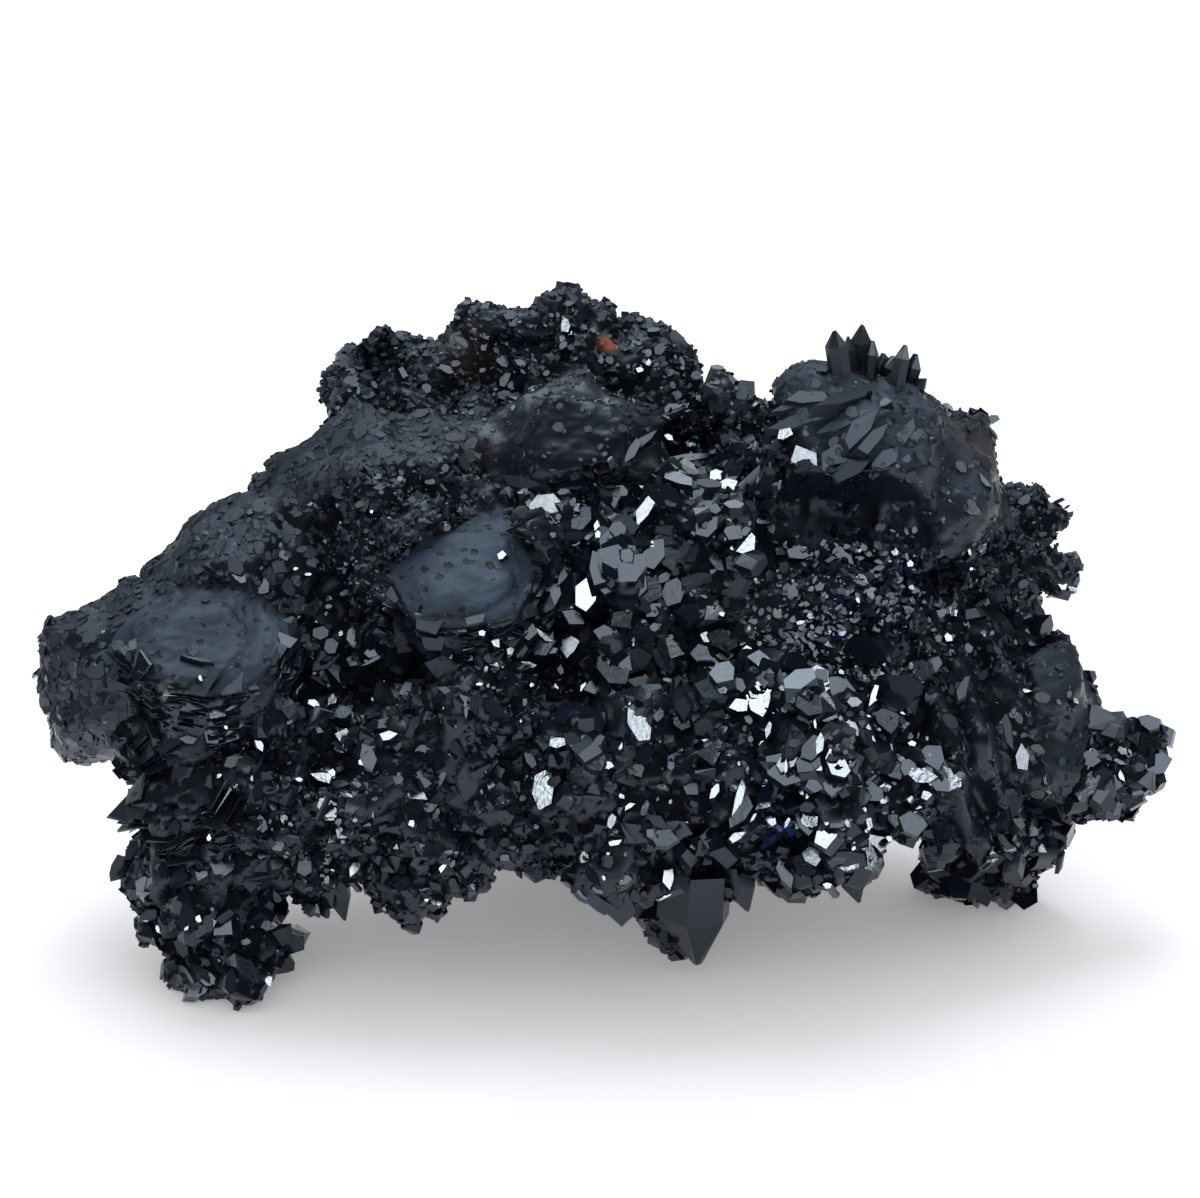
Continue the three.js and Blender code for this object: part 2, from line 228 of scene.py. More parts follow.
# Lobes of the cluster, in millimetres: middle, half sizes, the way the blades face, the habit of the
# crystals, and how frosted the bare skin is where it faces that way
lobes = {
    "leftDome": ((-24.4, 1.1, 24.8), (6.8, 7.4, 5.6), (-0.5, -0.35, 0.8), "scaly", 0.4),
    "farLeft": ((-34.4, -2.9, 17.4), (4.9, 6.0, 6.2), (-0.6, -0.6, 0.5), "scaly", 0.25),
    "farLeftShoulder": ((-31.8, -1.9, 22.0), (3.8, 4.6, 3.4), (-0.5, -0.3, 0.8), "scaly", 0.3),
    "leftFront": ((-26.8, -9.9, 22.6), (5.8, 6.2, 5.7), (-0.05, -0.35, 0.93), "slate", 0.9),
    "leftLower": ((-27.8, -11.9, 12.6), (5.8, 5.6, 5.2), (-0.45, -0.3, 0.84), "layered", 0.3),
    "centralDome": ((-8.7, -7.9, 27.4), (6.2, 6.3, 5.6), (-0.1, -0.4, 0.9), "slate", 1.0),
    "valleyDisc": ((-0.5, 1.1, 34.0), (6.2, 6.0, 5.2), (0.0, -0.7, 0.7), "smooth", 0.2),
    "upperLeftSlope": ((-14.6, 3.5, 31.4), (6.8, 6.6, 5.4), (-0.5, -0.3, 0.8), "scaly", 0.5),
    "rightDome": ((19.5, 2.1, 31.8), (9.0, 8.8, 8.2), (0.05, -0.25, 0.95), "smooth", 0.75),
    "rightBack": ((29.4, 5.1, 24.9), (4.8, 5.8, 5.0), None, "fine", 0.35),
    "rightPetals": ((24.8, -5.4, 15.4), (6.4, 6.4, 7.7), (0.5, -0.8, 0.2), "smooth", 0.2),
    "rightLobe": ((31.8, -2.4, 15.1), (4.8, 5.8, 5.9), (0.25, -0.3, 0.9), "smooth", 0.5),
    "ridgeLeft": ((-14.4, 9.1, 36.4), (5.6, 6.0, 5.4), None, "knobbly", 0.3),
    "ridgeMiddle": ((-7.4, 11.1, 36.6), (6.2, 6.0, 6.2), None, "knobbly", 0.3),
    "ridgePeak": ((-1.6, 11.1, 37.8), (5.0, 6.0, 5.9), None, "knobbly", 0.3),
    "ridgeRight": ((3.4, 10.1, 36.0), (5.0, 6.0, 5.4), None, "knobbly", 0.3),
    "saddle": ((9.2, 3.1, 34.0), (5.2, 5.7, 4.8), None, "druse", 0.2),
    "upperMiddle": ((-13.2, -2.9, 28.4), (6.4, 6.4, 6.0), None, "fine", 0.2),
    "leftFoot": ((-27.2, -13.9, 5.8), (5.4, 5.0, 8.2), None, "tabular", 0.15),
    "lowerLeft": ((-18.6, -12.4, 14.0), (8.2, 7.0, 8.6), None, "druse", 0.1),
    "centreFront": ((-8.8, -12.9, 16.4), (8.4, 7.5, 9.4), None, "druse", 0.1),
    "centre": ((1.6, -5.9, 28.2), (6.6, 7.0, 6.8), None, "tabular", 0.15),
    "centreRight": ((8.7, -2.9, 31.4), (5.0, 5.8, 5.0), None, "tabular", 0.15),
    "rightMiddle": ((17.8, -4.5, 23.6), (8.8, 7.8, 7.0), None, "fine", 0.15),
    "lowerCentre": ((3.0, -13.9, 16.0), (8.8, 7.0, 9.6), None, "tabular", 0.1),
    "lowerRight": ((13.6, -12.9, 16.0), (9.4, 7.0, 9.6), None, "tabular", 0.1),
    "rightEnd": ((36.8, -4.4, 12.0), (4.0, 4.0, 4.4), None, "tabular", 0.2),
    "rightFoot": ((29.1, -1.3, 6.6), (5.8, 6.0, 8.6), None, "tabular", 0.2),
    "backLeft": ((-16.4, 11.0, 25.0), (8.6, 8.0, 9.0), (-0.35, 0.75, 0.55), "slate", 0.8),
    "backMiddle": ((-2.0, 14.5, 25.0), (11.0, 8.0, 10.5), None, "tabular", 0.2),
    "backShelf": ((-5.0, 19.0, 18.0), (7.0, 4.5, 5.0), (-0.1, 0.8, 0.6), "layered", 0.5),
    "backRight": ((14.6, 12.5, 23.0), (10.4, 8.0, 9.5), (0.35, 0.75, 0.55), "scaly", 0.5),
    "backFoot": ((4.0, 14.0, 9.0), (11.0, 6.5, 12.0), None, "coarse", 0.2),
    "underLeft": ((-23.4, -0.6, 15.6), (8.4, 8.6, 7.6), None, "druse", 0.15),
    "underRight": ((22.0, 6.0, 15.0), (8.0, 7.0, 7.4), None, "druse", 0.15),
    "heart": ((1.2, 3.1, 21.0), (30.0, 13.0, 10.5), None, "coarse", 0.15),
    "belly": ((2.2, 6.1, 13.0), (24.0, 11.0, 8.6), None, "coarse", 0.15),
}
lobeNames = list(lobes)


def lobeColumn(column, missing=None):
    return [lobes[name][column] if lobes[name][column] is not None else missing for name in lobeNames]


lobeMiddles = np.array(lobeColumn(0))
lobeRadii = np.array(lobeColumn(1))
lobeAxes = unit(np.array(lobeColumn(2, (0.0, 0.0, 1.0)), float))
lobeHabits = np.array(lobeColumn(3))
lobeFrost = np.array(lobeColumn(4))
bareHabits = ("slate", "smooth")  # lobes that show their skin


def lobeOf(at):
    reach = [np.linalg.norm((at - m) / r, axis=1) for m, r in zip(lobeMiddles, lobeRadii)]
    return np.argmin(np.array(reach), axis=0)


# The body, in millimetres: the cluster's mass with the narrow gaps between the solid's blades closed and
# rounded off
body = {
    "mergeWithin": 0.001,
    "coarseVoxel": 0.65,
    "closing": 1.7,
    "voxel": 0.52,
    "smoothing": 4,
    "bareSmoothing": 2,
    "smoothFactor": 0.5,
    "capped": ("leftFront", "centralDome"),
    "capFrom": 0.4,
    "capLeft": 0.3,
    "folded": "rightPetals",
    "foldSpacing": 2.9,
    "foldDepth": 1.5,
    "foldLean": 0.35,
    "foldWander": (0.9, 5.0),  # how far the folds wander, and over what length
    "foldMiddle": 0.6,
    "knobs": (5.2, 5.5, 0.24),  # size, height and middle level of each kind of unevenness
    "swell": (6.0, 5.0, 0.5),
    "lumps": (2.0, 1.8, 0.5),
    "grain": (0.8, 0.8, 0.5),
    "fineGrain": (0.4, 0.4, 0.5),
    "bareShare": {"knobs": 0.12, "swell": 0.2, "lumps": 0.2, "grain": 0.1, "fineGrain": 0.25},
    "frostFrom": 0.45,
    "frostFull": 0.85,
    "leastFrost": 0.24,
    "tone": 0.3,
}
# Where the sprig stands on the right dome, in millimetres, and its reach in shares of the dome's half size
sprig = {"dome": "rightDome", "above": 36.0, "middle": 19.0, "halfWidth": 9.0, "low": 0.98, "high": 1.8}


def applyModifier(piece, kind, **values):
    modifier = piece.modifiers.new(kind.lower(), kind)
    for key, value in values.items():
        setattr(modifier, key, value)
    bpy.ops.object.modifier_apply(modifier=modifier.name)


def skinTexture(name, size):
    # rounded knobs with narrow clefts between them, or clouds
    texture = bpy.data.textures.new(name, "VORONOI" if name == "knobs" else "CLOUDS")
    texture.noise_scale = size * mm
    if name == "knobs":
        texture.weight_1 = -1.0
        texture.weight_2 = 1.0
    else:
        texture.noise_depth = 1
    return texture


def readRows(items, key, kind=float):
    rows = np.empty(len(items) * 3, kind)
    items.foreach_get(key, rows)
    return rows.reshape(-1, 3)


def surfaceOf(piece):
    mesh = piece.data
    mesh.calc_loop_triangles()
    points, normals = readRows(mesh.vertices, "co") / mm, readRows(mesh.vertices, "normal")
    return points, normals, readRows(mesh.loop_triangles, "vertices", int)


def movePoints(piece, points):
    piece.data.vertices.foreach_set("co", (points * mm).reshape(-1))
    piece.data.update()


def layValues(mesh, **values):
    for key, value in values.items():
        layer = mesh.attributes.new(key, "FLOAT", "POINT")
        layer.data.foreach_set("value", value)


def selectFaces(piece, chosen):
    # leaves the piece in edit mode with those faces selected
    bpy.ops.object.mode_set(mode="EDIT")
    bpy.ops.mesh.select_mode(type="FACE")
    bpy.ops.mesh.select_all(action="DESELECT")
    bpy.ops.object.mode_set(mode="OBJECT")
    piece.data.polygons.foreach_set("select", chosen)
    bpy.ops.object.mode_set(mode="EDIT")


# Grabs: a pixel of the outline, its depth along Y in millimetres, how far it is drawn right and up in
# millimetres, and the reach of the pull
grabs = {
    "slopeKnob": (288, 472, 3.5, -2.4, 2.0, 3.6),
    "farLeftTop": (70, 630, -2.9, -0.8, 0.9, 4.0),
    "farLeftBottom": (65, 735, -3.0, -1.8, -1.6, 5.0),
    "leftDomeEdge": (160, 560, 1.0, -0.6, 0.6, 4.0),
    "rightDomeLeft": (770, 397, 2.0, -0.3, 2.1, 8.0),
    "rightDomeRight": (965, 425, 3.0, -0.6, -1.0, 5.0),
    "rightDomeLow": (1020, 478, 4.0, -0.2, -0.6, 4.0),
    "rightBackTop": (1060, 510, 5.0, 0.5, -0.2, 3.6),
    "rightBackMiddle": (1052, 552, 5.0, 1.2, 0.0, 3.0),
    "rightBackNotch": (1052, 622, 3.0, -2.4, 0.4, 3.2),
    "rightEndTop": (1145, 740, -4.4, 2.0, 1.2, 4.0),
    "rightEndLow": (1128, 812, -4.4, 0.8, -0.9, 3.0),
    "rightFootSide": (1060, 850, -1.3, 2.6, 0.4, 4.2),
    "leftFootSide": (155, 930, -13.9, -0.9, 0.0, 4.0),
    "leftFootLow": (205, 985, -14.0, 0.0, -1.0, 3.5),
    "ridgeCorner": (345, 358, 9.1, -1.2, 0.6, 3.6),
    "ridgeLeft": (478, 335, 10.0, 0.0, 1.3, 6.0),
    "ridgePeak": (570, 300, 11.0, 0.4, 0.9, 4.0),
    "ridgeRight": (665, 340, 10.5, 0.0, 0.4, 5.0),
    "fringeLeft": (318, 875, -13.0, 0.0, -3.2, 4.0),
    "fringeMiddle": (415, 875, -13.5, 0.0, -2.8, 4.2),
    "fringeCentre": (620, 895, -14.0, 0.0, -1.6, 3.6),
    "fringeRight": (845, 880, -13.0, 0.0, -2.0, 5.0),
    "fringeFarRight": (905, 845, -10.0, 0.4, -2.6, 3.6),
    "fringeArch": (540, 865, -14.0, 0.0, -1.2, 4.0),
    "fringeBesideV": (752, 885, -13.0, 0.0, -1.4, 3.0),
}


def falloff(points, spot, reach):
    # 1 at the spot, 0 from its reach on
    near = np.linalg.norm(points - spot, axis=1) / reach
    return (np.clip(1 - near**2, 0, 1) ** 2)[:, None]


def pullGrabs(points):
    eye, forward, right, up = cameraAxes()
    for across, down, plane, drawnRight, drawnUp, reach in grabs.values():
        share = falloff(points, pointOnPlane(across, down, plane), reach)
        points = points + share * (right * drawnRight + up * drawnUp)
    return points


# Hollows: a pixel of the skin, how far it is pushed away from the eye and its reach, in millimetres
hollows = {
    "underDomeLeft": (795, 508, 3.2, 3.6),
    "underDome": (850, 516, 4.4, 4.4),
    "underDomeRight": (905, 526, 3.4, 3.6),
    "cavity": (673, 442, 1.3, 1.7),
    "besideCap": (335, 612, 1.8, 4.0),
    "underCap": (300, 745, 1.6, 4.0),
    "centreLow": (525, 775, 2.2, 5.0),
    "besidePetals": (905, 655, 2.0, 3.2),
    "underPetals": (985, 800, 1.6, 3.4),
    "belowCentre": (560, 590, 1.4, 2.6),
}


def pushHollows(points, triangles):
    tree = BVHTree.FromPolygons([Vector(p) for p in points], triangles.tolist())
    for across, down, depth, reach in hollows.values():
        eye, ray = rayThrough(across, down)
        spot = np.array(tree.ray_cast(Vector(eye), Vector(ray))[0])
        points = points + ray * (depth * falloff(points, spot, reach))
    return points


def flattenCaps(points):
    # the slate rosettes end in a low cap instead of half a ball
    which = lobeOf(points)
    axes = lobeAxes[which]
    reach = np.linalg.norm(lobeRadii[which] * axes, axis=1)
    rise = np.sum((points - lobeMiddles[which]) * axes, axis=1) / reach
    over = np.clip(rise - body["capFrom"], 0, None)
    over = over * np.isin(which, [lobeNames.index(name) for name in body["capped"]])
    return points - axes * (over * (1 - body["capLeft"]) * reach)[:, None]


def cloudy(points, size):
    # smooth noise from about -1 to 1, one value for each point
    return np.array([noise.noise(Vector(p)) for p in points / size])


def foldPetals(points, normals):
    # soft upright folds in the dark smooth lobe at the right
    which = lobeOf(points)
    wander, size = body["foldWander"]
    wave = points[:, 0] + body["foldLean"] * points[:, 2] + wander * cloudy(points, size)
    fold = np.abs(np.sin(wave * math.pi / body["foldSpacing"])) - body["foldMiddle"]
    moved = fold * body["foldDepth"] * (which == lobeNames.index(body["folded"]))
    return points + normals * moved[:, None]


def trimSprig(points):
    # the sprig on the right dome has crystals of its own, so the skin follows the dome there
    dome = lobeNames.index(sprig["dome"])
    away = (points - lobeMiddles[dome]) / lobeRadii[dome]
    far = np.linalg.norm(away, axis=1)
    inside = (points[:, 2] > sprig["above"]) & (np.abs(points[:, 0] - sprig["middle"]) < sprig["halfWidth"])
    high = inside & (far > sprig["low"]) & (far < sprig["high"])
    pulled = lobeMiddles[dome] + away * (sprig["low"] / far)[:, None] * lobeRadii[dome]
    return np.where(high[:, None], pulled, points)


def refineBare(piece):
    # smaller faces where the skin shows
    middles = readRows(piece.data.polygons, "center") / mm
    selectFaces(piece, np.isin(lobeHabits[lobeOf(middles)], bareHabits))
    bpy.ops.mesh.subdivide(number_cuts=1)
    bpy.ops.object.mode_set(mode="OBJECT")
    applyModifier(piece, "SMOOTH", factor=body["smoothFactor"], iterations=body["bareSmoothing"])


def makeBody():
    bpy.ops.object.select_all(action="DESELECT")
    piece = bpy.data.objects.new("clusterBody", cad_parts["azurite"].data.copy())
    piece.data.materials.clear()
    bpy.context.scene.collection.objects.link(piece)
    piece.select_set(True)
    bpy.context.view_layer.objects.active = piece
    bpy.ops.object.mode_set(mode="EDIT")
    bpy.ops.mesh.select_all(action="SELECT")
    bpy.ops.mesh.remove_doubles(threshold=body["mergeWithin"] * mm)
    bpy.ops.object.mode_set(mode="OBJECT")
    for push in (body["closing"], -body["closing"]):
        applyModifier(piece, "REMESH", mode="VOXEL", voxel_size=body["coarseVoxel"] * mm)
        applyModifier(piece, "DISPLACE", strength=push * mm, mid_level=0.0)
    applyModifier(piece, "REMESH", mode="VOXEL", voxel_size=body["voxel"] * mm)
    applyModifier(piece, "SMOOTH", factor=body["smoothFactor"], iterations=body["smoothing"])
    refineBare(piece)
    points, normals, triangles = surfaceOf(piece)
    points = pullGrabs(trimSprig(flattenCaps(foldPetals(points, normals))))
    points = pushHollows(points, triangles)
    movePoints(piece, points)
    bare = np.isin(lobeHabits[lobeOf(points)], bareHabits + ("scaly",))
    for name, bareShare in body["bareShare"].items():
        size, height, middle = body[name]
        share = piece.vertex_groups.new(name=name)  # less of it where the skin shows
        share.add(np.flatnonzero(~bare).tolist(), 1.0, "REPLACE")
        share.add(np.flatnonzero(bare).tolist(), bareShare, "REPLACE")
        applyModifier(
            piece,
            "DISPLACE",
            texture=skinTexture(name, size),
            texture_coords="LOCAL",
            strength=height * mm,
            mid_level=middle,
            vertex_group=name,
        )
    points = surfaceOf(piece)[0]
    points[:, 2] = np.maximum(points[:, 2], 0.0)  # nothing below the floor
    movePoints(piece, points)
    piece.data.shade_smooth()
    return piece


bodyPiece = makeBody()
skin = surfaceOf(bodyPiece)
skinTree = BVHTree.FromPolygons([Vector(p) for p in skin[0]], skin[2].tolist())
print("body made:", len(skin[2]), "triangles")


def frostBody():
    points, normals, triangles = skin
    which = lobeOf(points)
    facing = np.sum(normals * lobeAxes[which], axis=1)
    span = (facing - body["frostFrom"]) / (body["frostFull"] - body["frostFrom"])
    least = body["leastFrost"]
    frost = least + (np.maximum(lobeFrost[which], least) - least) * np.clip(span, 0, 1)
    layValues(bodyPiece.data, frost=frost, tone=np.full(len(points), body["tone"]))


frostBody()

# Crystal seeds, each modelled once in a unit box: length along X, width along Y, thickness along Z. A
# tablet, a scale and a shard are prisms whose top faces are drawn in crystal by crystal
seedCorners = {"tablet": 6, "scale": 8, "shard": 5}
pointLook = {"corners": 6, "flare": 1.06, "edge": (0.14, 0.3)}  # the edge that its chisel ends in
pointSeeds = {"point": {"rise": 0.32, "aside": 0.08}, "spike": {"rise": 1.0, "aside": 0.12}}
fanLook = {"blades": 5, "splay": -44.0, "spread": -0.8, "sway": 0.05, "roll": 0.09, "thin": (0.075, 0.03)}


def modelPrism(corners):
    bpy.ops.object.select_all(action="DESELECT")
    bpy.ops.mesh.primitive_cylinder_add(vertices=corners, radius=0.5, depth=1.0, end_fill_type="NGON")
    return bpy.context.object


def modelFan():
    # blades sharing a root at -X, splayed unevenly about Y, so that their outer edges show as lines
    bpy.ops.object.select_all(action="DESELECT")
    parts = []
    last = fanLook["blades"] - 1
    thin, thicker = fanLook["thin"]
    for k in range(fanLook["blades"]):
        bpy.ops.mesh.primitive_cube_add(size=1.0, location=(0.0, 0.0, 0.0))
        blade = bpy.context.object
        selectFaces(blade, [face.normal.x > 0.9 for face in blade.data.polygons])
        bpy.ops.transform.resize(value=(1.0, 0.5 + 0.15 * (k % 3), 0.4))
        bpy.ops.object.mode_set(mode="OBJECT")
        place = k / last - 0.5 + fanLook["sway"] * math.sin(3.7 * k)
        blade.scale = (1.0 - 0.16 * ((2 * k) % 3), 1.0 - 0.13 * ((k + 1) % 3), thin + thicker * (k % 2))
        blade.location = (-0.08 * ((2 * k) % 3), 0.09 * ((k % 3) - 1), 0.0)
        bpy.ops.object.transform_apply(location=True, scale=True)
        roll = fanLook["roll"] * math.sin(2.3 * k)
        blade.rotation_euler = (roll, math.radians(fanLook["splay"]) * place, 0.0)
        blade.location = (0.0, 0.0, fanLook["spread"] * place)
        bpy.ops.object.transform_apply(location=True, rotation=True)
        parts.append(blade)
    for blade in parts:
        blade.select_set(True)
    bpy.context.view_layer.objects.active = parts[0]
    bpy.ops.object.join()
    return bpy.context.object


def modelPoint(rise, aside):
    # a prism that ends in a chisel point, the prism one high and the point rise high
    seed = modelPrism(pointLook["corners"])
    selectFaces(seed, [face.normal.z > 0.9 for face in seed.data.polygons])
    bpy.ops.transform.resize(value=(pointLook["flare"], pointLook["flare"], 1.0))
    bpy.ops.mesh.extrude_region_move(TRANSFORM_OT_translate={"value": (aside, 0.0, rise)})
    bpy.ops.transform.resize(value=(*pointLook["edge"], 1.0))
    bpy.ops.object.mode_set(mode="OBJECT")
    return seed


def seedMesh(seed):
    points = np.array([vertex.co[:] for vertex in seed.data.vertices])
    faces = [tuple(face.vertices) for face in seed.data.polygons]
    angle = np.round(np.arctan2(points[:, 1], points[:, 0]), 2)
    corner = np.unique(angle, return_inverse=True)[1].reshape(-1)
    bpy.data.objects.remove(seed)
    top = points[:, 2] > 0.4
    return {"points": points, "faces": faces, "corner": corner, "corners": corner.max() + 1, "top": top}


prototypes = {name: seedMesh(modelPrism(corners)) for name, corners in seedCorners.items()}
prototypes.update({name: seedMesh(modelPoint(**look)) for name, look in pointSeeds.items()})
prototypes["fan"] = seedMesh(modelFan())
monoclinic = 0.3  # how far a crystal may slant
print("crystal seeds modelled")


def joinCrystals(name, seedName, growth):
    # every crystal is its own copy of the seed: turned, sized, slanted and with its corners moved
    seed = prototypes[seedName]
    count = len(growth["at"])
    local = np.repeat(seed["points"][None], count, axis=0)
    reach = 1.0 + growth["ragged"] * dice.uniform(-1, 1, (count, seed["corners"]))
    local[:, :, :2] *= reach[:, seed["corner"], None]
    if "crown" in growth:  # the top face is drawn in and pushed aside, so the sides lean as facets
        shift = growth["shift"] * dice.uniform(-1, 1, (count, 1, 2))
        local[:, seed["top"], :2] = local[:, seed["top"], :2] * growth["crown"][:, None, :] + shift
    local[:, :, 0] += dice.uniform(-monoclinic, monoclinic, (count, 1)) * local[:, :, 1]
    local *= growth["size"][:, None, :]
    face = unit(growth["face"])
    along = unit(growth["along"] - face * np.sum(growth["along"] * face, axis=1, keepdims=True))
    turned = np.stack((along, np.cross(face, along), face), axis=1)
    points = np.einsum("nvi,nij->nvj", local, turned) + growth["at"][:, None, :]
    points[:, :, 2] = np.maximum(points[:, :, 2], 0.0)  # nothing below the floor
    perSeed = len(seed["points"])
    totals = np.tile([len(loop) for loop in seed["faces"]], count)
    loops = np.concatenate(seed["faces"])
    loops = (loops[None] + (np.arange(count) * perSeed)[:, None]).reshape(-1)
    mesh = bpy.data.meshes.new(name)
    mesh.vertices.add(count * perSeed)
    mesh.vertices.foreach_set("co", (points * mm).reshape(-1))
    mesh.loops.add(len(loops))
    mesh.loops.foreach_set("vertex_index", loops)
    mesh.polygons.add(len(totals))
    mesh.polygons.foreach_set("loop_start", np.concatenate(([0], np.cumsum(totals)[:-1])))
    mesh.update(calc_edges=True)
    mesh.validate()
    mesh.shade_flat()
    layValues(mesh, frost=np.repeat(growth["frost"], perSeed), tone=np.repeat(growth["tone"], perSeed))
    piece = bpy.data.objects.new(name, mesh)
    bpy.context.scene.collection.objects.link(piece)
    print(name, count, "crystals", int(np.sum(totals - 2)), "triangles")
    return piece


# Habits: how the crystals of a lobe grow. Crystals per square millimetre, lengths in millimetres, thickness
# over length, the share of the top face left, tilt, the share that stands out from the skin while the rest
# lie on it, and frost
habitColumns = ("density", "length", "thick", "crown", "tilt", "standing", "frost")
habitRows = {
    "scaly": (3.5, (0.6, 2.2), (0.1, 0.16), (0.75, 0.95), 0.09, 0.0, (0.35, 0.65)),
    "slate": (3.0, (0.5, 2.0), (0.1, 0.2), (0.7, 0.95), 0.14, 0.0, (0.2, 0.5)),
    "layered": (1.8, (0.6, 2.6), (0.1, 0.2), (0.7, 0.95), 0.16, 0.0, (0.2, 0.5)),
    "smooth": (1.3, (0.5, 1.8), (0.1, 0.16), (0.7, 0.9), 0.08, 0.0, (0.25, 0.4)),
    "knobbly": (3.9, (0.45, 1.7), (0.5, 1.0), (0.15, 0.7), 0.6, 0.0, (0.4, 0.85)),
    "druse": (2.9, (0.45, 2.6), (0.3, 0.75), (0.15, 0.8), 0.45, 0.05, (0.05, 0.45)),
    "fine": (5.6, (0.35, 1.4), (0.12, 0.22), (0.6, 0.9), 0.7, 0.4, (0.35, 0.9)),
    "tabular": (1.9, (0.5, 3.7), (0.28, 0.65), (0.2, 0.85), 0.42, 0.05, (0.05, 0.45)),
    "coarse": (1.8, (0.6, 3.6), (0.3, 0.7), (0.2, 0.85), 0.45, 0.05, (0.05, 0.4)),
}
habits = {name: dict(zip(habitColumns, row)) for name, row in habitRows.items()}
habitSeeds = {"scaly": "scale", "smooth": "scale"}  # the other habits grow tablets
# What all habits share, lengths in millimetres
crystalForm = {
    "skew": 2.2,  # many small crystals, a few large
    "cleftSize": 0.7,  # the size factor in a cleft, and what the height of a knob adds
    "knobSize": 1.1,
    "width": (0.55, 0.95),
    "thickness": (0.1, 2.0),
    "frostOnWalls": 0.5,  # more frost on what looks up: the roughness is the surface's own, the paler slate colour it brings on top is painted light from above
    "frostAndPaintedLightAbove": 0.7,
    "leastFrost": 0.15,
    "frostPatch": (0.45, 4.5),  # how strong and how wide the frosted patches are
    "wallsBelow": 0.4,  # crystals on walls look up
    "wallRise": 0.3,
    "standingLift": 0.25,
    "sunk": 0.12,
    "uneven": (-0.06, 0.1),
    "mirrorCrown": 0.85,  # crystals that catch a light keep most of their face, and less frost
    "mirrorFrost": 0.35,
    "shift": 0.12,
    "ragged": 0.24,
    "tone": 0.95,
}
# The blades of the rosettes, which the slate and layered habits have
blades = {
    "splay": 0.45,  # how far they splay from a rosette's middle to its rim
    "rim": 6.0,
    "top": 0.72,  # above this cosine to the axis a rosette is bare skin with a few flush plates
    "topShare": {"slate": 0.05, "layered": 0.4},  # the share of plates kept up there
    "edgeWave": 0.12,  # how far the edge of the bare skin wanders, and how far it frays
    "edgeFray": 0.06,
    "stray": 0.3,
    "inset": 0.3,
    "plateTilt": 0.07,
    "plateSunk": 0.04,
    "plateFrost": (0.8, 1.0),
}
# Fans of blades round the sides of the rosettes, per square millimetre
fans = {
    "length": (1.5, 2.6),
    "width": (0.8, 1.35),
    "height": (0.7, 1.1),
    "density": {"leftFront": 0.6, "centralDome": 0.5, "leftLower": 0.45, "backLeft": 0.4, "backShelf": 0.36},
    "below": 0.62,  # the cosine to the axis below which they grow
    "openSide": -0.05,  # the cosine to the rosette's open side above which they grow
    "shown": 0.24,  # the share of their length outside the skin
    "stray": 0.12,
    "stackStray": 0.14,
    "ragged": 0.1,
    "frost": (0.05, 0.35),
}
# The share of crystals in a lobe that catch the small lamps, and that catch the soft lamps
glints = {
    "lowerRight": (0.3, 0.45), "lowerCentre": (0.06, 0.24), "rightMiddle": (0.2, 0.7), "centre": (0.06, 0.4),
    "centreRight": (0.06, 0.4), "lowerLeft": (0.03, 0.14), "centreFront": (0.015, 0.06),
    "upperMiddle": (0.02, 0.26), "leftFoot": (0.03, 0.14), "rightFoot": (0.06, 0.45), "saddle": (0.02, 0.2),
    "rightEnd": (0.04, 0.3), "rightBack": (0.02, 0.3), "ridgeLeft": (0.01, 0.3), "ridgeMiddle": (0.01, 0.3),
    "ridgePeak": (0.01, 0.3), "ridgeRight": (0.01, 0.3), "backMiddle": (0.05, 0.3), "backFoot": (0.04, 0.24),
    "underLeft": (0.03, 0.2), "underRight": (0.04, 0.24), "heart": (0.03, 0.2), "belly": (0.03, 0.2),
}
# The share in the other lobes, the head start of the camera over other eyes, and how exactly a face mirrors
catching = {
    "elsewhere": (0.003, 0.02), "cameraFirst": 0.25, "flashStray": 0.04, "sheenStray": 0.12, "facing": 0.15,
}
# The crust on the hidden side of the bare lobes, and what grows on the underside and near the floor
crust = {"below": 0.6, "behind": 0.2, "underside": -0.5, "underShare": 0.6, "aboveFloor": 0.4}


def sampleSkin(perArea):
    points, normals, triangles = skin
    a, b, c = (points[triangles[:, k]] for k in range(3))
    area = 0.5 * np.linalg.norm(np.cross(b - a, c - a), axis=1)
    count = int(area.sum() * perArea)
    pick = np.searchsorted(np.cumsum(area), dice.uniform(0, area.sum(), count))
    pick = np.minimum(pick, len(area) - 1)
    u, v = dice.uniform(0, 1, (2, count, 1))
    flip = (u + v) > 1
    u, v = np.where(flip, 1 - u, u), np.where(flip, 1 - v, v)
    at = a[pick] + u * (b[pick] - a[pick]) + v * (c[pick] - a[pick])
    blend = sum(normals[triangles[pick, k]] for k in range(3))
    return at, unit(blend)


def mirrorFace(lampName, at, toEye):
    lamp = np.array(camera["target"]) + lightDirection(lampName) * lights[lampName]["distance"] / mm
    return unit(toEye + unit(lamp - at))


def nearestMirror(lampNames, at, normal, toEye):
    # the way a face looks to mirror whichever lamp needs the least turning from the skin
    faces = np.stack([mirrorFace(name, at, toEye) for name in lampNames])
    nearer = np.argmax(np.sum(faces * normal, axis=2), axis=0)
    return faces[nearer, np.arange(len(at))]


def viewersRound():
    # the camera, and three more eyes a quarter turn apart round the specimen
    offset = cameraAxes()[0] - np.array(camera["target"])
    turns = [(1.0, 0.0), (0.0, 1.0), (-1.0, 0.0), (0.0, -1.0)]
    turned = [(c * offset[0] - s * offset[1], s * offset[0] + c * offset[1], offset[2]) for c, s in turns]
    return np.array(camera["target"]) + np.array(turned)


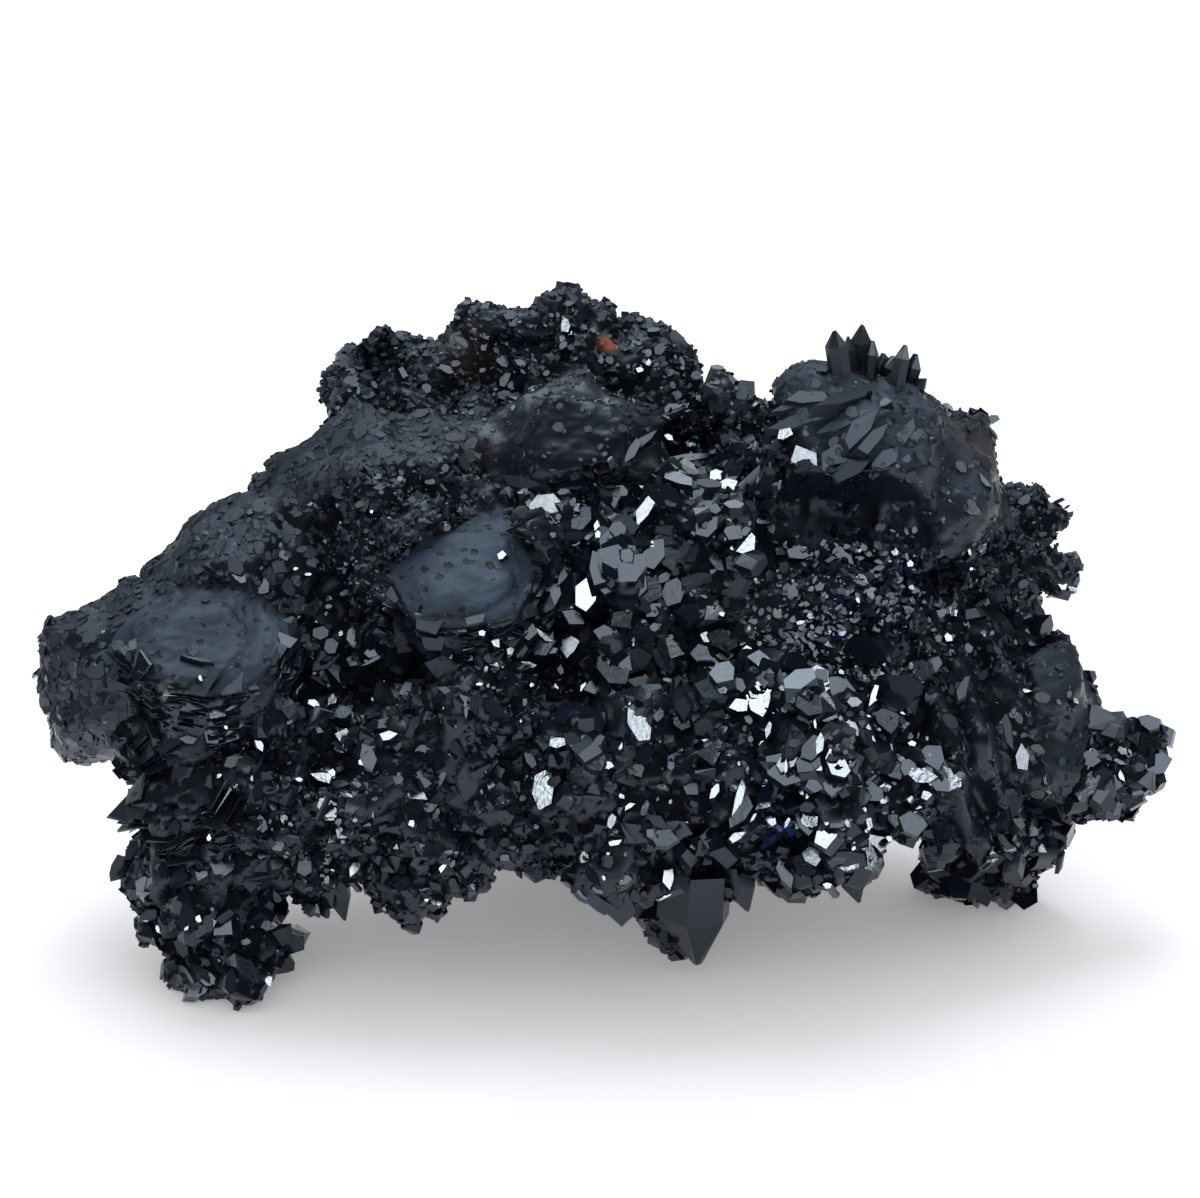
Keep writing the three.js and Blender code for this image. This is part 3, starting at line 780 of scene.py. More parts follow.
def catchLight(face, at, normal, which):
    shares = np.array([glints.get(name, catching["elsewhere"]) for name in lobeNames])[which]
    toEyes = unit(viewersRound() - at[:, None, :])
    seen = np.sum(toEyes * normal[:, None, :], axis=2) + np.array((catching["cameraFirst"], 0.0, 0.0, 0.0))
    toEye = toEyes[np.arange(len(at)), np.argmax(seen, axis=1)]
    chance = dice.uniform(0, 1, len(at))
    flash = nearestMirror(smallLamps, at, normal, toEye)
    sheen = nearestMirror(softLamps, at, normal, toEye)
    flash = unit(flash + catching["flashStray"] * dice.normal(0, 1, at.shape))
    sheen = unit(sheen + catching["sheenStray"] * dice.normal(0, 1, at.shape))
    facing = np.sum(normal * toEye, axis=1) > catching["facing"]
    flashing = facing & (chance < shares[:, 0])
    shining = facing & (chance > 1 - shares[:, 1])
    face = np.where(flashing[:, None], flash, face)
    return np.where(shining[:, None], sheen, face), flashing | shining


def knobHeight(at):
    # 0 in the clefts between the knobs of the skin, up to about 0.6 on top of them
    knobs = bpy.data.textures["knobs"]
    return np.array([knobs.evaluate(Vector(p))[3] for p in at * mm])


def growHabit(habit, at, normal, which):
    look, form = habits[habit], crystalForm
    axes = lobeAxes[which]
    cosine = np.sum(normal * axes, axis=1)
    bladed = habit in blades["topShare"]
    if bladed:
        wave = blades["edgeWave"] * np.sin(at[:, 0] * 1.3 + 2.0) * np.sin(at[:, 1] * 1.1)
        cosine = cosine + (wave + dice.normal(0, blades["edgeFray"], len(at)))
        keep = (cosine < blades["top"]) | (dice.uniform(0, 1, len(at)) < blades["topShare"][habit])
        at, normal, axes, which, cosine = at[keep], normal[keep], axes[keep], which[keep], cosine[keep]
    count = len(at)
    low, high = look["length"]
    length = low * (high / low) ** (dice.uniform(0, 1, count) ** form["skew"])
    length = length * (form["cleftSize"] + form["knobSize"] * knobHeight(at))
    width = length * dice.uniform(*form["width"], count)
    thick = np.clip(length * dice.uniform(*look["thick"], count), *form["thickness"])
    crown = dice.uniform(*look["crown"], (count, 2))
    wobble = dice.normal(0, 1, (count, 3))
    tangent = np.cross(normal, dice.normal(0, 1, (count, 3)))
    # painted light, in part: upward crystals get more frost, so more of the pale slate colour, standing in
    # for the overhead light they catch
    facing = np.clip(form["frostOnWalls"] + form["frostAndPaintedLightAbove"] * normal[:, 2], form["leastFrost"], 1)
    frostLow, frostHigh = look["frost"]
    frost = (frostLow + (frostHigh - frostLow) * dice.uniform(0, 1, count)) * facing
    patch, patchSize = form["frostPatch"]
    frost = np.clip(frost + patch * np.clip(cloudy(at, patchSize), 0, 1) * facing, 0, 1)
    if bladed:
        rise = np.sum((at - lobeMiddles[which]) * axes, axis=1, keepdims=True)
        outward = unit(normal - axes * cosine[:, None])
        rim = np.clip(rise / blades["rim"], -1, 1)
        splay = unit(axes + blades["splay"] * outward * rim + look["tilt"] * wobble)
        flat = (cosine > blades["top"])[:, None]
        face = np.where(flat, unit(normal + blades["plateTilt"] * wobble), splay)
        along = np.where(flat, tangent, outward + blades["stray"] * wobble)
        inset = outward * (blades["inset"] * length)[:, None]
        place = at - np.where(flat, blades["plateSunk"] * normal, inset)
        plateFrost = lobeFrost[which] * dice.uniform(*blades["plateFrost"], count)
        frost = np.where(flat[:, 0], plateFrost, frost)
    else:
        standing = (dice.uniform(0, 1, count) < look["standing"])[:, None]
        raised = np.where(normal[:, 2:] < form["wallsBelow"], np.array((0.0, 0.0, form["wallRise"])), 0.0)
        lean = unit(normal + raised + look["tilt"] * wobble)
        face = np.where(standing, np.cross(lean, tangent), lean)
        along = np.where(standing, lean, tangent)
        face, caught = catchLight(face, at, normal, which)
        lift = np.where(standing & ~caught[:, None], form["standingLift"] * length[:, None], 0.0)
        uneven = dice.uniform(*form["uneven"], (count, 1))
        place = at + normal * (lift - form["sunk"] * thick[:, None] + uneven)
        crown = np.where(caught[:, None], form["mirrorCrown"], crown)
        frost = np.where(caught, form["mirrorFrost"] * frost, frost)
    return {
        "at": place,
        "face": face,
        "along": along,
        "size": np.stack((length, width, thick), axis=1),
        "crown": crown,
        "shift": form["shift"],
        "ragged": np.full((count, 1), form["ragged"]),
        "frost": frost,
        "tone": dice.uniform(0, form["tone"], count),
    }


def growFans():
    densest = max(fans["density"].values())
    at, normal = sampleSkin(densest)
    which = lobeOf(at)
    density = np.array([fans["density"].get(name, 0.0) for name in lobeNames])[which]
    axes = lobeAxes[which]
    outer = axes * (1.0, 1.0, 0.0)  # the open side of the rosette
    sideways = np.sum(normal * axes, axis=1) < fans["below"]
    sideways = sideways & (np.sum(normal * outer, axis=1) > fans["openSide"])
    keep = (dice.uniform(0, 1, len(at)) < density / densest) & sideways
    at, normal, axes = at[keep], normal[keep], axes[keep]
    count = len(at)
    wobble = dice.normal(0, 1, (count, 3))
    length = dice.uniform(*fans["length"], count)
    outward = unit(normal + fans["stray"] * wobble)
    stack = axes + fans["stackStray"] * wobble
    width = length * dice.uniform(*fans["width"], count)
    return {
        "at": at - outward * (length * (0.5 - fans["shown"]))[:, None],
        "face": unit(stack - outward * np.sum(stack * outward, axis=1, keepdims=True)),
        "along": outward,
        "size": np.stack((length, width, length * dice.uniform(*fans["height"], count)), axis=1),
        "ragged": np.full((count, 1), fans["ragged"]),
        "frost": dice.uniform(*fans["frost"], count),
        "tone": dice.uniform(0, crystalForm["tone"], count),
    }


def growLobes():
    grown = {}
    densest = max(look["density"] for look in habits.values())
    at, normal = sampleSkin(densest)
    which = lobeOf(at)
    under = np.where(normal[:, 2] < crust["underside"], crust["underShare"], 1.0)
    chance = dice.uniform(0, 1, len(at))
    grows = lobeHabits[which]
    turned = np.isin(grows, bareHabits) & (np.sum(normal * lobeAxes[which], axis=1) < crust["below"])
    grows = np.where(turned & (normal[:, 1] > crust["behind"]), "druse", grows)
    above = at[:, 2] > crust["aboveFloor"]
    for habit, look in habits.items():
        keep = (grows == habit) & (chance < under * look["density"] / densest) & above
        grown[habit] = growHabit(habit, at[keep], normal[keep], which[keep])
    return grown


crystalPieces = []
for habitName, habitGrowth in growLobes().items():
    habitSeed = habitSeeds.get(habitName, "tablet")
    crystalPieces.append(joinCrystals(habitName + "Crystals", habitSeed, habitGrowth))
crystalPieces.append(joinCrystals("bladeFans", "fan", growFans()))

# Single crystals that the photograph shows clearly. Each is a pixel place across and down, its length
# and width in pixels and the turn of its length in degrees from level; facing says what it mirrors and
# lift how far it stands off the skin, in millimetres
singles = {
    "leftFlashes": {
        "facing": "flash", "lift": 0.85,
        "crystals": (
            (338, 707, 10, 20, 0), (392, 737, 20, 19, 0), (265, 737, 14, 12, -20), (225, 718, 6, 8, 0),
            (200, 678, 5, 8, 0), (330, 687, 8, 8, 0), (307, 573, 10, 5, 0), (290, 568, 6, 5, 0),
            (375, 505, 5, 5, 0), (315, 623, 12, 5, 10), (230, 775, 6, 8, 0), (327, 770, 8, 12, 0),
            (318, 782, 18, 17, 0), (353, 872, 22, 15, 80), (267, 890, 22, 15, 75), (392, 833, 10, 12, 0),
            (442, 860, 12, 10, 30), (223, 793, 5, 8, 0), (215, 837, 8, 10, 0), (225, 855, 8, 10, 0),
            (218, 985, 26, 16, -70), (198, 957, 12, 10, 0), (267, 970, 10, 14, 0), (363, 762, 8, 8, 0),
            (337, 773, 8, 10, 0), (290, 785, 8, 6, 0), (275, 907, 6, 6, 0), (423, 897, 5, 5, 0),
            (433, 900, 5, 5, 0), (393, 877, 6, 8, 0), (190, 923, 8, 6, 20),
        ),
    },
    "centreFlashes": {
        "facing": "flash", "lift": 0.8,
        "crystals": (
            (632, 512, 32, 20, 70), (597, 532, 26, 10, 75), (540, 630, 24, 10, -40), (557, 622, 9, 14, 0),
            (727, 487, 28, 24, 0), (768, 477, 18, 18, 0), (728, 533, 12, 14, 0), (765, 462, 8, 8, 0),
            (503, 560, 8, 12, 0), (493, 637, 10, 15, 0), (483, 625, 9, 9, 0), (505, 645, 7, 12, 0),
            (495, 663, 35, 6, -18), (472, 683, 12, 5, 0), (713, 640, 14, 18, 0), (750, 653, 10, 18, 0),
            (742, 670, 12, 12, 0), (598, 562, 8, 8, 0), (650, 540, 7, 7, 0), (593, 687, 9, 11, 0),
            (562, 695, 12, 8, 0), (597, 650, 10, 6, 0), (697, 622, 11, 6, 0), (727, 613, 8, 6, 0),
            (648, 478, 14, 5, -10), (762, 555, 10, 6, 0), (620, 668, 6, 8, 0), (525, 688, 7, 5, 0),
            (663, 436, 8, 9, 0), (672, 442, 8, 7, 0), (681, 438, 9, 8, 0), (690, 445, 7, 8, 0),
            (587, 329, 6, 6, 0), (571, 337, 6, 6, 0), (635, 368, 8, 7, 0), (650, 367, 9, 8, 0),
        ),
    },
    "rightFlashes": {
        "facing": "flash", "lift": 1.05,
        "crystals": (
            (794, 438, 24, 12, 40), (863, 483, 11, 9, 0), (857, 477, 13, 7, 20), (870, 398, 6, 5, 0),
            (850, 500, 7, 9, 0), (968, 550, 18, 5, -75), (898, 587, 9, 7, 0), (852, 595, 5, 8, 0),
            (833, 533, 6, 6, 0), (935, 578, 7, 6, 0), (939, 635, 13, 11, 0), (830, 672, 6, 6, 0),
            (757, 683, 12, 10, 0), (747, 702, 22, 18, 20), (768, 697, 25, 10, 80), (808, 685, 25, 14, 0),
            (815, 700, 22, 15, 70), (778, 728, 25, 10, 80), (738, 737, 10, 6, 0), (703, 747, 11, 7, 0),
            (812, 728, 16, 4, 85), (870, 700, 28, 8, 75), (863, 742, 28, 15, 65), (827, 743, 25, 12, 80),
            (840, 757, 11, 9, 0), (895, 732, 6, 9, 0), (908, 743, 10, 6, 0), (620, 747, 18, 5, 85),
            (763, 785, 35, 16, 65), (735, 790, 42, 14, 75), (723, 797, 22, 14, 60), (787, 767, 16, 6, 85),
            (808, 787, 20, 8, -70), (817, 799, 8, 8, 0), (760, 802, 20, 9, 10), (773, 818, 20, 9, -50),
            (783, 820, 18, 6, 20), (752, 817, 25, 6, 40), (727, 832, 20, 12, 20), (693, 845, 20, 16, 50),
            (755, 847, 10, 6, 30), (722, 855, 11, 8, 20), (742, 857, 10, 10, 0), (663, 878, 22, 18, 50),
            (617, 797, 7, 6, 0), (632, 802, 14, 6, 15), (870, 802, 11, 7, 0), (842, 820, 7, 10, 0),
            (880, 837, 9, 9, 0), (888, 855, 16, 14, 0), (742, 885, 5, 9, 0), (920, 792, 14, 8, 40),
            (613, 838, 14, 7, 10), (830, 877, 10, 8, 0), (1102, 777, 12, 14, 0), (1113, 775, 9, 14, 0),
            (1090, 773, 5, 5, 0), (1035, 688, 14, 6, -10), (1020, 672, 14, 8, -60), (1000, 837, 8, 10, 0),
        ),
    },
    "greyPlates": {
        "facing": "sheen", "lift": 0.4,
        "crystals": (
            (215, 733, 20, 20, 0), (190, 740, 16, 14, 0), (138, 698, 30, 14, 75), (157, 728, 26, 10, -65),
            (367, 697, 20, 20, 0), (325, 727, 14, 18, 0), (218, 733, 18, 16, 0), (445, 775, 20, 9, 80),
            (253, 827, 22, 12, 25), (175, 817, 28, 8, 55), (398, 780, 12, 14, 0),
            (562, 577, 36, 14, 65), (610, 540, 38, 22, 70), (610, 585, 32, 16, 20), (573, 610, 22, 20, 0),
            (630, 450, 35, 12, 62), (610, 633, 35, 20, 0), (623, 637, 20, 8, -70), (560, 667, 22, 8, 85),
            (543, 648, 25, 8, 5), (847, 483, 20, 6, 15), (837, 485, 25, 6, 15), (883, 408, 14, 14, 0),
            (983, 483, 24, 8, -50), (800, 550, 40, 18, -10), (837, 557, 34, 14, -15), (857, 580, 20, 8, -10),
            (695, 460, 60, 18, 8), (637, 443, 42, 11, 35), (447, 373, 28, 10, -35), (732, 723, 20, 8, 20),
            (692, 783, 22, 20, 0), (607, 693, 22, 18, 70), (873, 607, 28, 26, 0), (862, 797, 24, 18, 60),
            (933, 662, 25, 18, 50), (683, 413, 30, 18, -20), (720, 417, 22, 12, 10), (797, 587, 20, 14, 70),
            (240, 698, 42, 5, 35), (232, 728, 46, 6, 33), (197, 663, 40, 6, -12), (373, 662, 30, 5, 30),
        ),
    },
    # painted glint colour: these crystals mirror the small lamps, and their strong blue base colour is
    # painted to stand in for blue light glinting from inside
    "blueGlints": {
        "facing": "blue", "lift": 0.8,
        "crystals": (
            (783, 824, 26, 7, 40), (760, 802, 18, 7, 10), (773, 818, 20, 7, -50), (834, 635, 12, 9, 20),
            (790, 812, 14, 6, 70), (768, 830, 12, 6, 20), (905, 560, 8, 6, 0), (868, 548, 8, 5, 30),
        ),
    },
    "paleFaces": {
        "facing": "pale", "lift": 0.8,
        "crystals": (
            (272, 867, 26, 22, 0), (752, 508, 48, 26, 75), (1020, 760, 30, 18, 80), (811, 463, 40, 32, 15),
            (846, 402, 60, 22, 20), (874, 443, 44, 16, 40), (1050, 846, 40, 30, 60), (1012, 852, 34, 24, 75),
        ),
    },
    "domePlates": {
        "facing": "plate", "lift": 0.1,
        "crystals": (
            (797, 421, 56, 22, 22), (838, 424, 56, 26, 28), (826, 412, 46, 20, 12), (858, 430, 50, 24, 40),
            (884, 460, 50, 18, 33), (836, 453, 52, 30, 12), (850, 470, 46, 16, 20), (780, 444, 34, 22, 35),
            (868, 414, 44, 22, 32), (902, 434, 40, 20, 48), (806, 398, 54, 22, 12), (790, 405, 40, 16, 25),
        ),
    },
    "slatePlates": {
        "facing": "slate", "lift": 0.3,
        "crystals": (
            (327, 658, 58, 28, 5), (457, 745, 30, 17, -75), (472, 783, 44, 24, -70), (527, 610, 30, 26, 20),
            (695, 583, 42, 24, 10), (733, 587, 40, 28, -60), (613, 497, 48, 32, 20), (667, 647, 36, 28, 0),
            (647, 687, 40, 28, 0), (713, 690, 44, 32, 0), (680, 687, 40, 32, 0), (447, 667, 30, 24, 20),
            (417, 687, 30, 18, -15), (517, 733, 22, 18, 0), (508, 493, 16, 14, 0), (523, 483, 40, 20, -15),
            (970, 873, 40, 28, 80), (947, 847, 22, 15, 0), (963, 687, 40, 13, 75),
            (1007, 727, 52, 11, -80), (923, 670, 30, 24, 40), (780, 550, 18, 14, 0), (677, 340, 30, 28, 0),
        ),
    },
    "darkPlates": {
        "facing": "dark", "lift": 0.3,
        "crystals": (
            (667, 500, 46, 44, 0), (690, 604, 52, 22, 0), (760, 867, 44, 32, -10), (807, 860, 46, 34, 75),
            (703, 803, 42, 34, 0), (762, 733, 34, 30, 0), (795, 745, 42, 28, 75), (770, 830, 46, 28, -15),
            (747, 767, 26, 18, 10), (640, 750, 30, 24, 80), (683, 743, 30, 16, 0), (720, 740, 26, 16, 20),
            (580, 637, 40, 24, 10), (657, 660, 40, 28, 0), (853, 655, 50, 34, 15), (923, 760, 46, 38, 70),
            (890, 820, 30, 24, 70), (850, 857, 42, 28, 0), (843, 887, 50, 20, 12), (750, 893, 32, 18, 75),
            (597, 877, 30, 24, 0), (617, 900, 50, 42, -60), (633, 893, 16, 12, 0),
            (173, 920, 18, 16, 0), (423, 827, 20, 14, 80), (480, 848, 26, 18, 0),
            (393, 863, 28, 24, 0), (470, 877, 22, 20, 0), (1140, 750, 40, 28, 70), (1127, 790, 34, 30, 0),
            (1150, 763, 40, 18, 80),
        ),
    },
}
# How a single crystal looks by what it faces: the shares of the skin's normal, the eye, the lamp that it
# mirrors and up in its direction, how far it strays, and its frost
singleLooks = {
    "flash": (0.0, 0.0, 1.0, 0.0, 0.02, 0.05),
    "blue": (0.0, 0.0, 1.0, 0.0, 0.015, 0.1),
    "pale": (0.0, 0.0, 1.0, 0.0, 0.03, 0.26),
    "violet": (0.0, 0.0, 1.0, 0.0, 0.16, 0.06),
    "sheen": (0.0, 0.0, 1.0, 0.0, 0.06, 0.12),
    "plate": (0.7, 0.0, 1.0, 0.0, 0.06, 0.6),
    "slate": (1.0, 0.5, 0.0, 0.4, 0.12, 0.75),
    "dark": (0.3, 1.0, 0.0, -0.08, 0.1, 0.08),
}
singleTone = {"blue": 0.985, "violet": 0.94}  # painted glint colour: the blue and violet tones are bluer base colours standing in for the blue light of the glints; the others are near black
# Their form: the reach below the skin in millimetres, limits and spreads in shares of the values above
singleForm = {
    "rooted": 0.3,
    "stretch": 1.6,
    "size": (0.8, 1.1),
    "widen": 1.05,
    "lift": (0.5, 1.2),
    "leastSlant": 0.4,
    "frost": (0.4, 1.6),
    "tone": 0.9,
    "ragged": 0.42,
    "crown": (0.78, 0.92),
    "shift": 0.05,
}


def placeOnSkin(across, down):
    eye, ray = rayThrough(across, down)
    hit, normal, index, distance = skinTree.ray_cast(Vector(eye), Vector(ray))
    if hit is None:  # just past the outline: the nearest skin carries it
        hit, normal, index, distance = skinTree.find_nearest(Vector(eye + ray * camera["distance"]))
    return np.array(hit), np.array(normal), ray


def singleFace(facing, at, normal, toEye):
    wobble = dice.normal(0, 1, 3)
    skinShare, eyeShare, lampShare, rise, stray, frost = singleLooks[facing]
    lampNames = smallLamps if facing in ("flash", "blue", "pale") else softLamps
    mirror = nearestMirror(lampNames, at[None], normal[None], toEye[None])[0]
    face = skinShare * normal + eyeShare * toEye + lampShare * mirror
    return unit(face + np.array((0.0, 0.0, rise)) + stray * wobble)


def gather(rows):
    keys = ("at", "face", "along", "size", "frost", "tone")
    return {key: np.array(values) for key, values in zip(keys, zip(*rows))}


def growSingles(group):
    eye, forward, right, up = cameraAxes()
    form = singleForm
    frost = singleLooks[group["facing"]][-1]
    rows = []
    for across, down, length, width, turn in group["crystals"]:
        at, normal, ray = placeOnSkin(across, down)
        face = singleFace(group["facing"], at, normal, -ray)
        scale = float((at - eye) @ forward) / camera["focalPixels"]
        shown = right * math.cos(math.radians(turn)) + up * math.sin(math.radians(turn))
        along = shown - ray * float(shown @ face) / float(ray @ face)  # its picture runs along shown
        stretch = min(float(np.linalg.norm(along)), form["stretch"])
        length = length * dice.uniform(*form["size"])
        width = width * dice.uniform(*form["size"])
        lift = group["lift"] * dice.uniform(*form["lift"])
        slant = float(face @ normal)
        thick = (lift + form["rooted"]) / max(slant, form["leastSlant"])  # from its face down into the skin
        lift = min(lift, thick * slant - form["rooted"])
        place = at + normal * lift - face * thick / 2
        size = (length * scale * stretch, width * scale * form["widen"], thick)
        ownFrost = frost * dice.uniform(*form["frost"])
        tone = singleTone.get(group["facing"], dice.uniform(0.0, form["tone"]))
        rows.append((place, face, along, size, ownFrost, tone))
    grown = gather(rows)
    grown["ragged"] = np.full((len(rows), 1), form["ragged"])
    grown["crown"] = dice.uniform(*form["crown"], (len(rows), 2))
    grown["shift"] = form["shift"]
    return grown


# Patches of small crystals that face alike: a pixel place, the half width and half height in pixels, how
# many crystals and their size in pixels, and what they mirror
patches = {
    "rightEndFace": (1109, 745, 20, 25, 34, 12, "pale"),
    "rightFootFace": (1050, 856, 28, 36, 54, 12, "pale"),
    "rightFootSide": (1010, 850, 18, 20, 18, 12, "pale"),
    "lilacDruse": (325, 838, 46, 50, 90, 9, "pale"),
    # the violet patches mirror the soft lamps, and their slightly bluer base tone is painted to tint those
    # glints blue-violet
    "violetField": (880, 582, 90, 52, 200, 9, "violet"),
    "violetSlope": (800, 640, 40, 30, 40, 9, "violet"),
}
patchForm = {"length": (0.6, 1.4), "width": (0.4, 0.9), "lift": 0.5}


def scatterPatch(across, down, halfWidth, halfHeight, count, size, facing):
    crystals = []
    for k in range(count):
        turn, away = dice.uniform(0, 2 * math.pi), math.sqrt(dice.uniform(0, 1))
        place = (across + halfWidth * away * math.cos(turn), down + halfHeight * away * math.sin(turn))
        length = size * dice.uniform(*patchForm["length"])
        crystals.append((*place, length, length * dice.uniform(*patchForm["width"]), dice.uniform(0, 180)))
    return {"facing": facing, "lift": patchForm["lift"], "crystals": crystals}


for singleName, singleGroup in singles.items():
    singleSeed = "tablet" if singleGroup["facing"] == "dark" else "shard"
    crystalPieces.append(joinCrystals(singleName, singleSeed, growSingles(singleGroup)))
for patchName, patch in patches.items():
    crystalPieces.append(joinCrystals(patchName, "shard", growSingles(scatterPatch(*patch))))

# Pointed crystals, such as the black sprig on the right dome: foot and tip in pixels, width in pixels,
# and the millimetres along Y where they stand
pointGroups = {
    "sprigCrystals": {
        "seed": "point", "plane": 2.6, "stray": 1.6, "ragged": 0.25, "turned": 0.8,
        "crystals": (
            (842, 392, 833, 331, 18), (852, 394, 848, 338, 18), (860, 394, 860, 324, 22),
            (868, 396, 873, 342, 18), (848, 398, 840, 352, 22), (858, 400, 854, 352, 22),
            (878, 398, 882, 352, 20), (887, 398, 893, 356, 18), (895, 396, 905, 346, 18),
            (903, 400, 916, 354, 18), (899, 404, 910, 366, 22), (907, 408, 926, 376, 16),
            (890, 410, 894, 372, 24), (876, 410, 874, 366, 24), (846, 406, 836, 368, 20),
            (864, 408, 860, 368, 24), (884, 416, 890, 388, 22), (902, 416, 918, 392, 18),
            (854, 414, 846, 384, 22), (870, 416, 868, 384, 24),
        ),
    },
    "edgeCrystals": {
        "seed": "spike", "plane": -13.6, "stray": 0.3, "ragged": 0.08, "turned": 0.2,
        "crystals": (
            (696, 868, 689, 960, 76), (640, 862, 632, 918, 36), (736, 862, 744, 910, 34),
            (432, 872, 434, 922, 24), (408, 872, 400, 919, 26), (336, 875, 342, 920, 24),
            (850, 865, 856, 902, 26),
        ),
    },
}
pointForm = {"lean": 0.12, "depth": (0.7, 1.0), "frost": (0.1, 0.4), "tone": 0.5}


def growPoints(group):
    eye, forward, right, up = cameraAxes()
    total = 1.0 + pointSeeds[group["seed"]]["rise"]
    rows = []
    for footX, footY, tipX, tipY, width in group["crystals"]:
        plane = group["plane"] + group["stray"] * dice.uniform(-1.0, 1.0)
        foot = pointOnPlane(footX, footY, plane)
        tip = pointOnPlane(tipX, tipY, plane)
        scale = float((foot - eye) @ forward) / camera["focalPixels"]
        length = float(np.linalg.norm(tip - foot))
        place = foot + (tip - foot) * 0.5 / total
        lean = length * pointForm["lean"] * group["stray"] * dice.normal(0, 1)  # towards the eye or away
        along = right + group["turned"] * dice.normal(0, 1, 3)
        size = (width * scale, width * scale * dice.uniform(*pointForm["depth"]), length / total)
        frost = dice.uniform(*pointForm["frost"])
        tone = dice.uniform(0.0, pointForm["tone"])
        rows.append((place, tip - foot + lean * forward, along, size, frost, tone))
    grown = gather(rows)
    grown["ragged"] = np.full((len(rows), 1), group["ragged"])
    return grown


for pointName, pointGroup in pointGroups.items():
    crystalPieces.append(joinCrystals(pointName, pointGroup["seed"], growPoints(pointGroup)))

# Azurite: near-black blue and glassy, frosted and slate-coloured where the frost value is high. Sizes in
# millimetres
azurite = {
    "ior": 1.56,
    "glossTint": (0.78, 0.9, 1.0, 1.0),
    "smoothRoughness": 0.06,
    "frostRoughness": 0.6,
    "dullFrom": 0.5,  # the frost value from which a face no longer mirrors
    # the last stop, which only the blue glints reach, is a strong blue painted as glint colour
    "tones": ((0.0, (0.003, 0.004, 0.007, 1.0)), (0.8, (0.006, 0.008, 0.016, 1.0)),
              (0.97, (0.010, 0.014, 0.034, 1.0)), (1.0, (0.02, 0.05, 0.3, 1.0))),
    "slate": (0.033, 0.053, 0.088, 1.0),
    "slateFrom": 0.3,  # light frost only dulls, full frost colours
    "pitSize": 0.9,
    "pitRadius": (0.2, 0.38),
    "pitWarp": 0.7,
    "warpSize": 0.6,
    "spared": (0.5, 0.52),  # about half the cells have no pit
    "cloudSize": 1.8,
    "cloudDetail": 4.0,
    "cloudSpan": (0.3, 0.7),
    "cloudCover": (0.45, 1.0),
    "etchSize": 0.35,
    "etchDetail": 3.0,
    "etchRoughness": 0.1,
    "etchHeight": 0.1,
    "bumpStrength": 0.5,
    "bumpDepth": 0.25,
}
# Stains: a pixel of the skin, the reach in millimetres, the colour and how far it covers
stains = {
    "iron": (608, 342, 1.0, (0.42, 0.11, 0.03), 0.9),
    "brownSlope": (477, 437, 3.0, (0.03, 0.017, 0.011), 0.45),
    "brownRidge": (463, 352, 3.0, (0.045, 0.024, 0.016), 0.6),
    "brownDome": (972, 445, 4.0, (0.06, 0.036, 0.024), 0.6),
}
stainCore = 0.4  # the share of its reach that a stain covers fully


def addNoise(tree, at, size, **inputs):
    return addNode(tree, "TexNoise", {"Vector": at, "Scale": 1.0 / (size * mm), **inputs})


def mixColour(tree, factor, under, over):
    return addNode(tree, "Mix", {"Factor": factor, "A": under, "B": over}, data_type="RGBA")["Result"]


def toneColour(tree):
    ramp = tree.nodes.new("ShaderNodeValToRGB")
    while len(ramp.color_ramp.elements) < len(azurite["tones"]):
        ramp.color_ramp.elements.new(0.5)
    for element, (place, colour) in zip(ramp.color_ramp.elements, azurite["tones"]):
        element.position = place
        element.color = colour
    tone = addNode(tree, "Attribute", {}, attribute_name="tone")["Fac"]
    return fillNode(tree, ramp, {"Fac": tone})["Color"]


def stainColour(tree, at, patchy, colour):
    for across, down, reach, stain, cover in stains.values():
        middle = Vector(placeOnSkin(across, down)[0] * mm)
        away = addNode(tree, "VectorMath", {0: at, 1: middle}, operation="DISTANCE")["Value"]
        edge = addRange(tree, away, (reach * mm, reach * mm * stainCore), (0.0, cover))
        colour = mixColour(tree, addMath(tree, "MULTIPLY", edge, patchy), colour, (*stain, 1.0))
    return colour


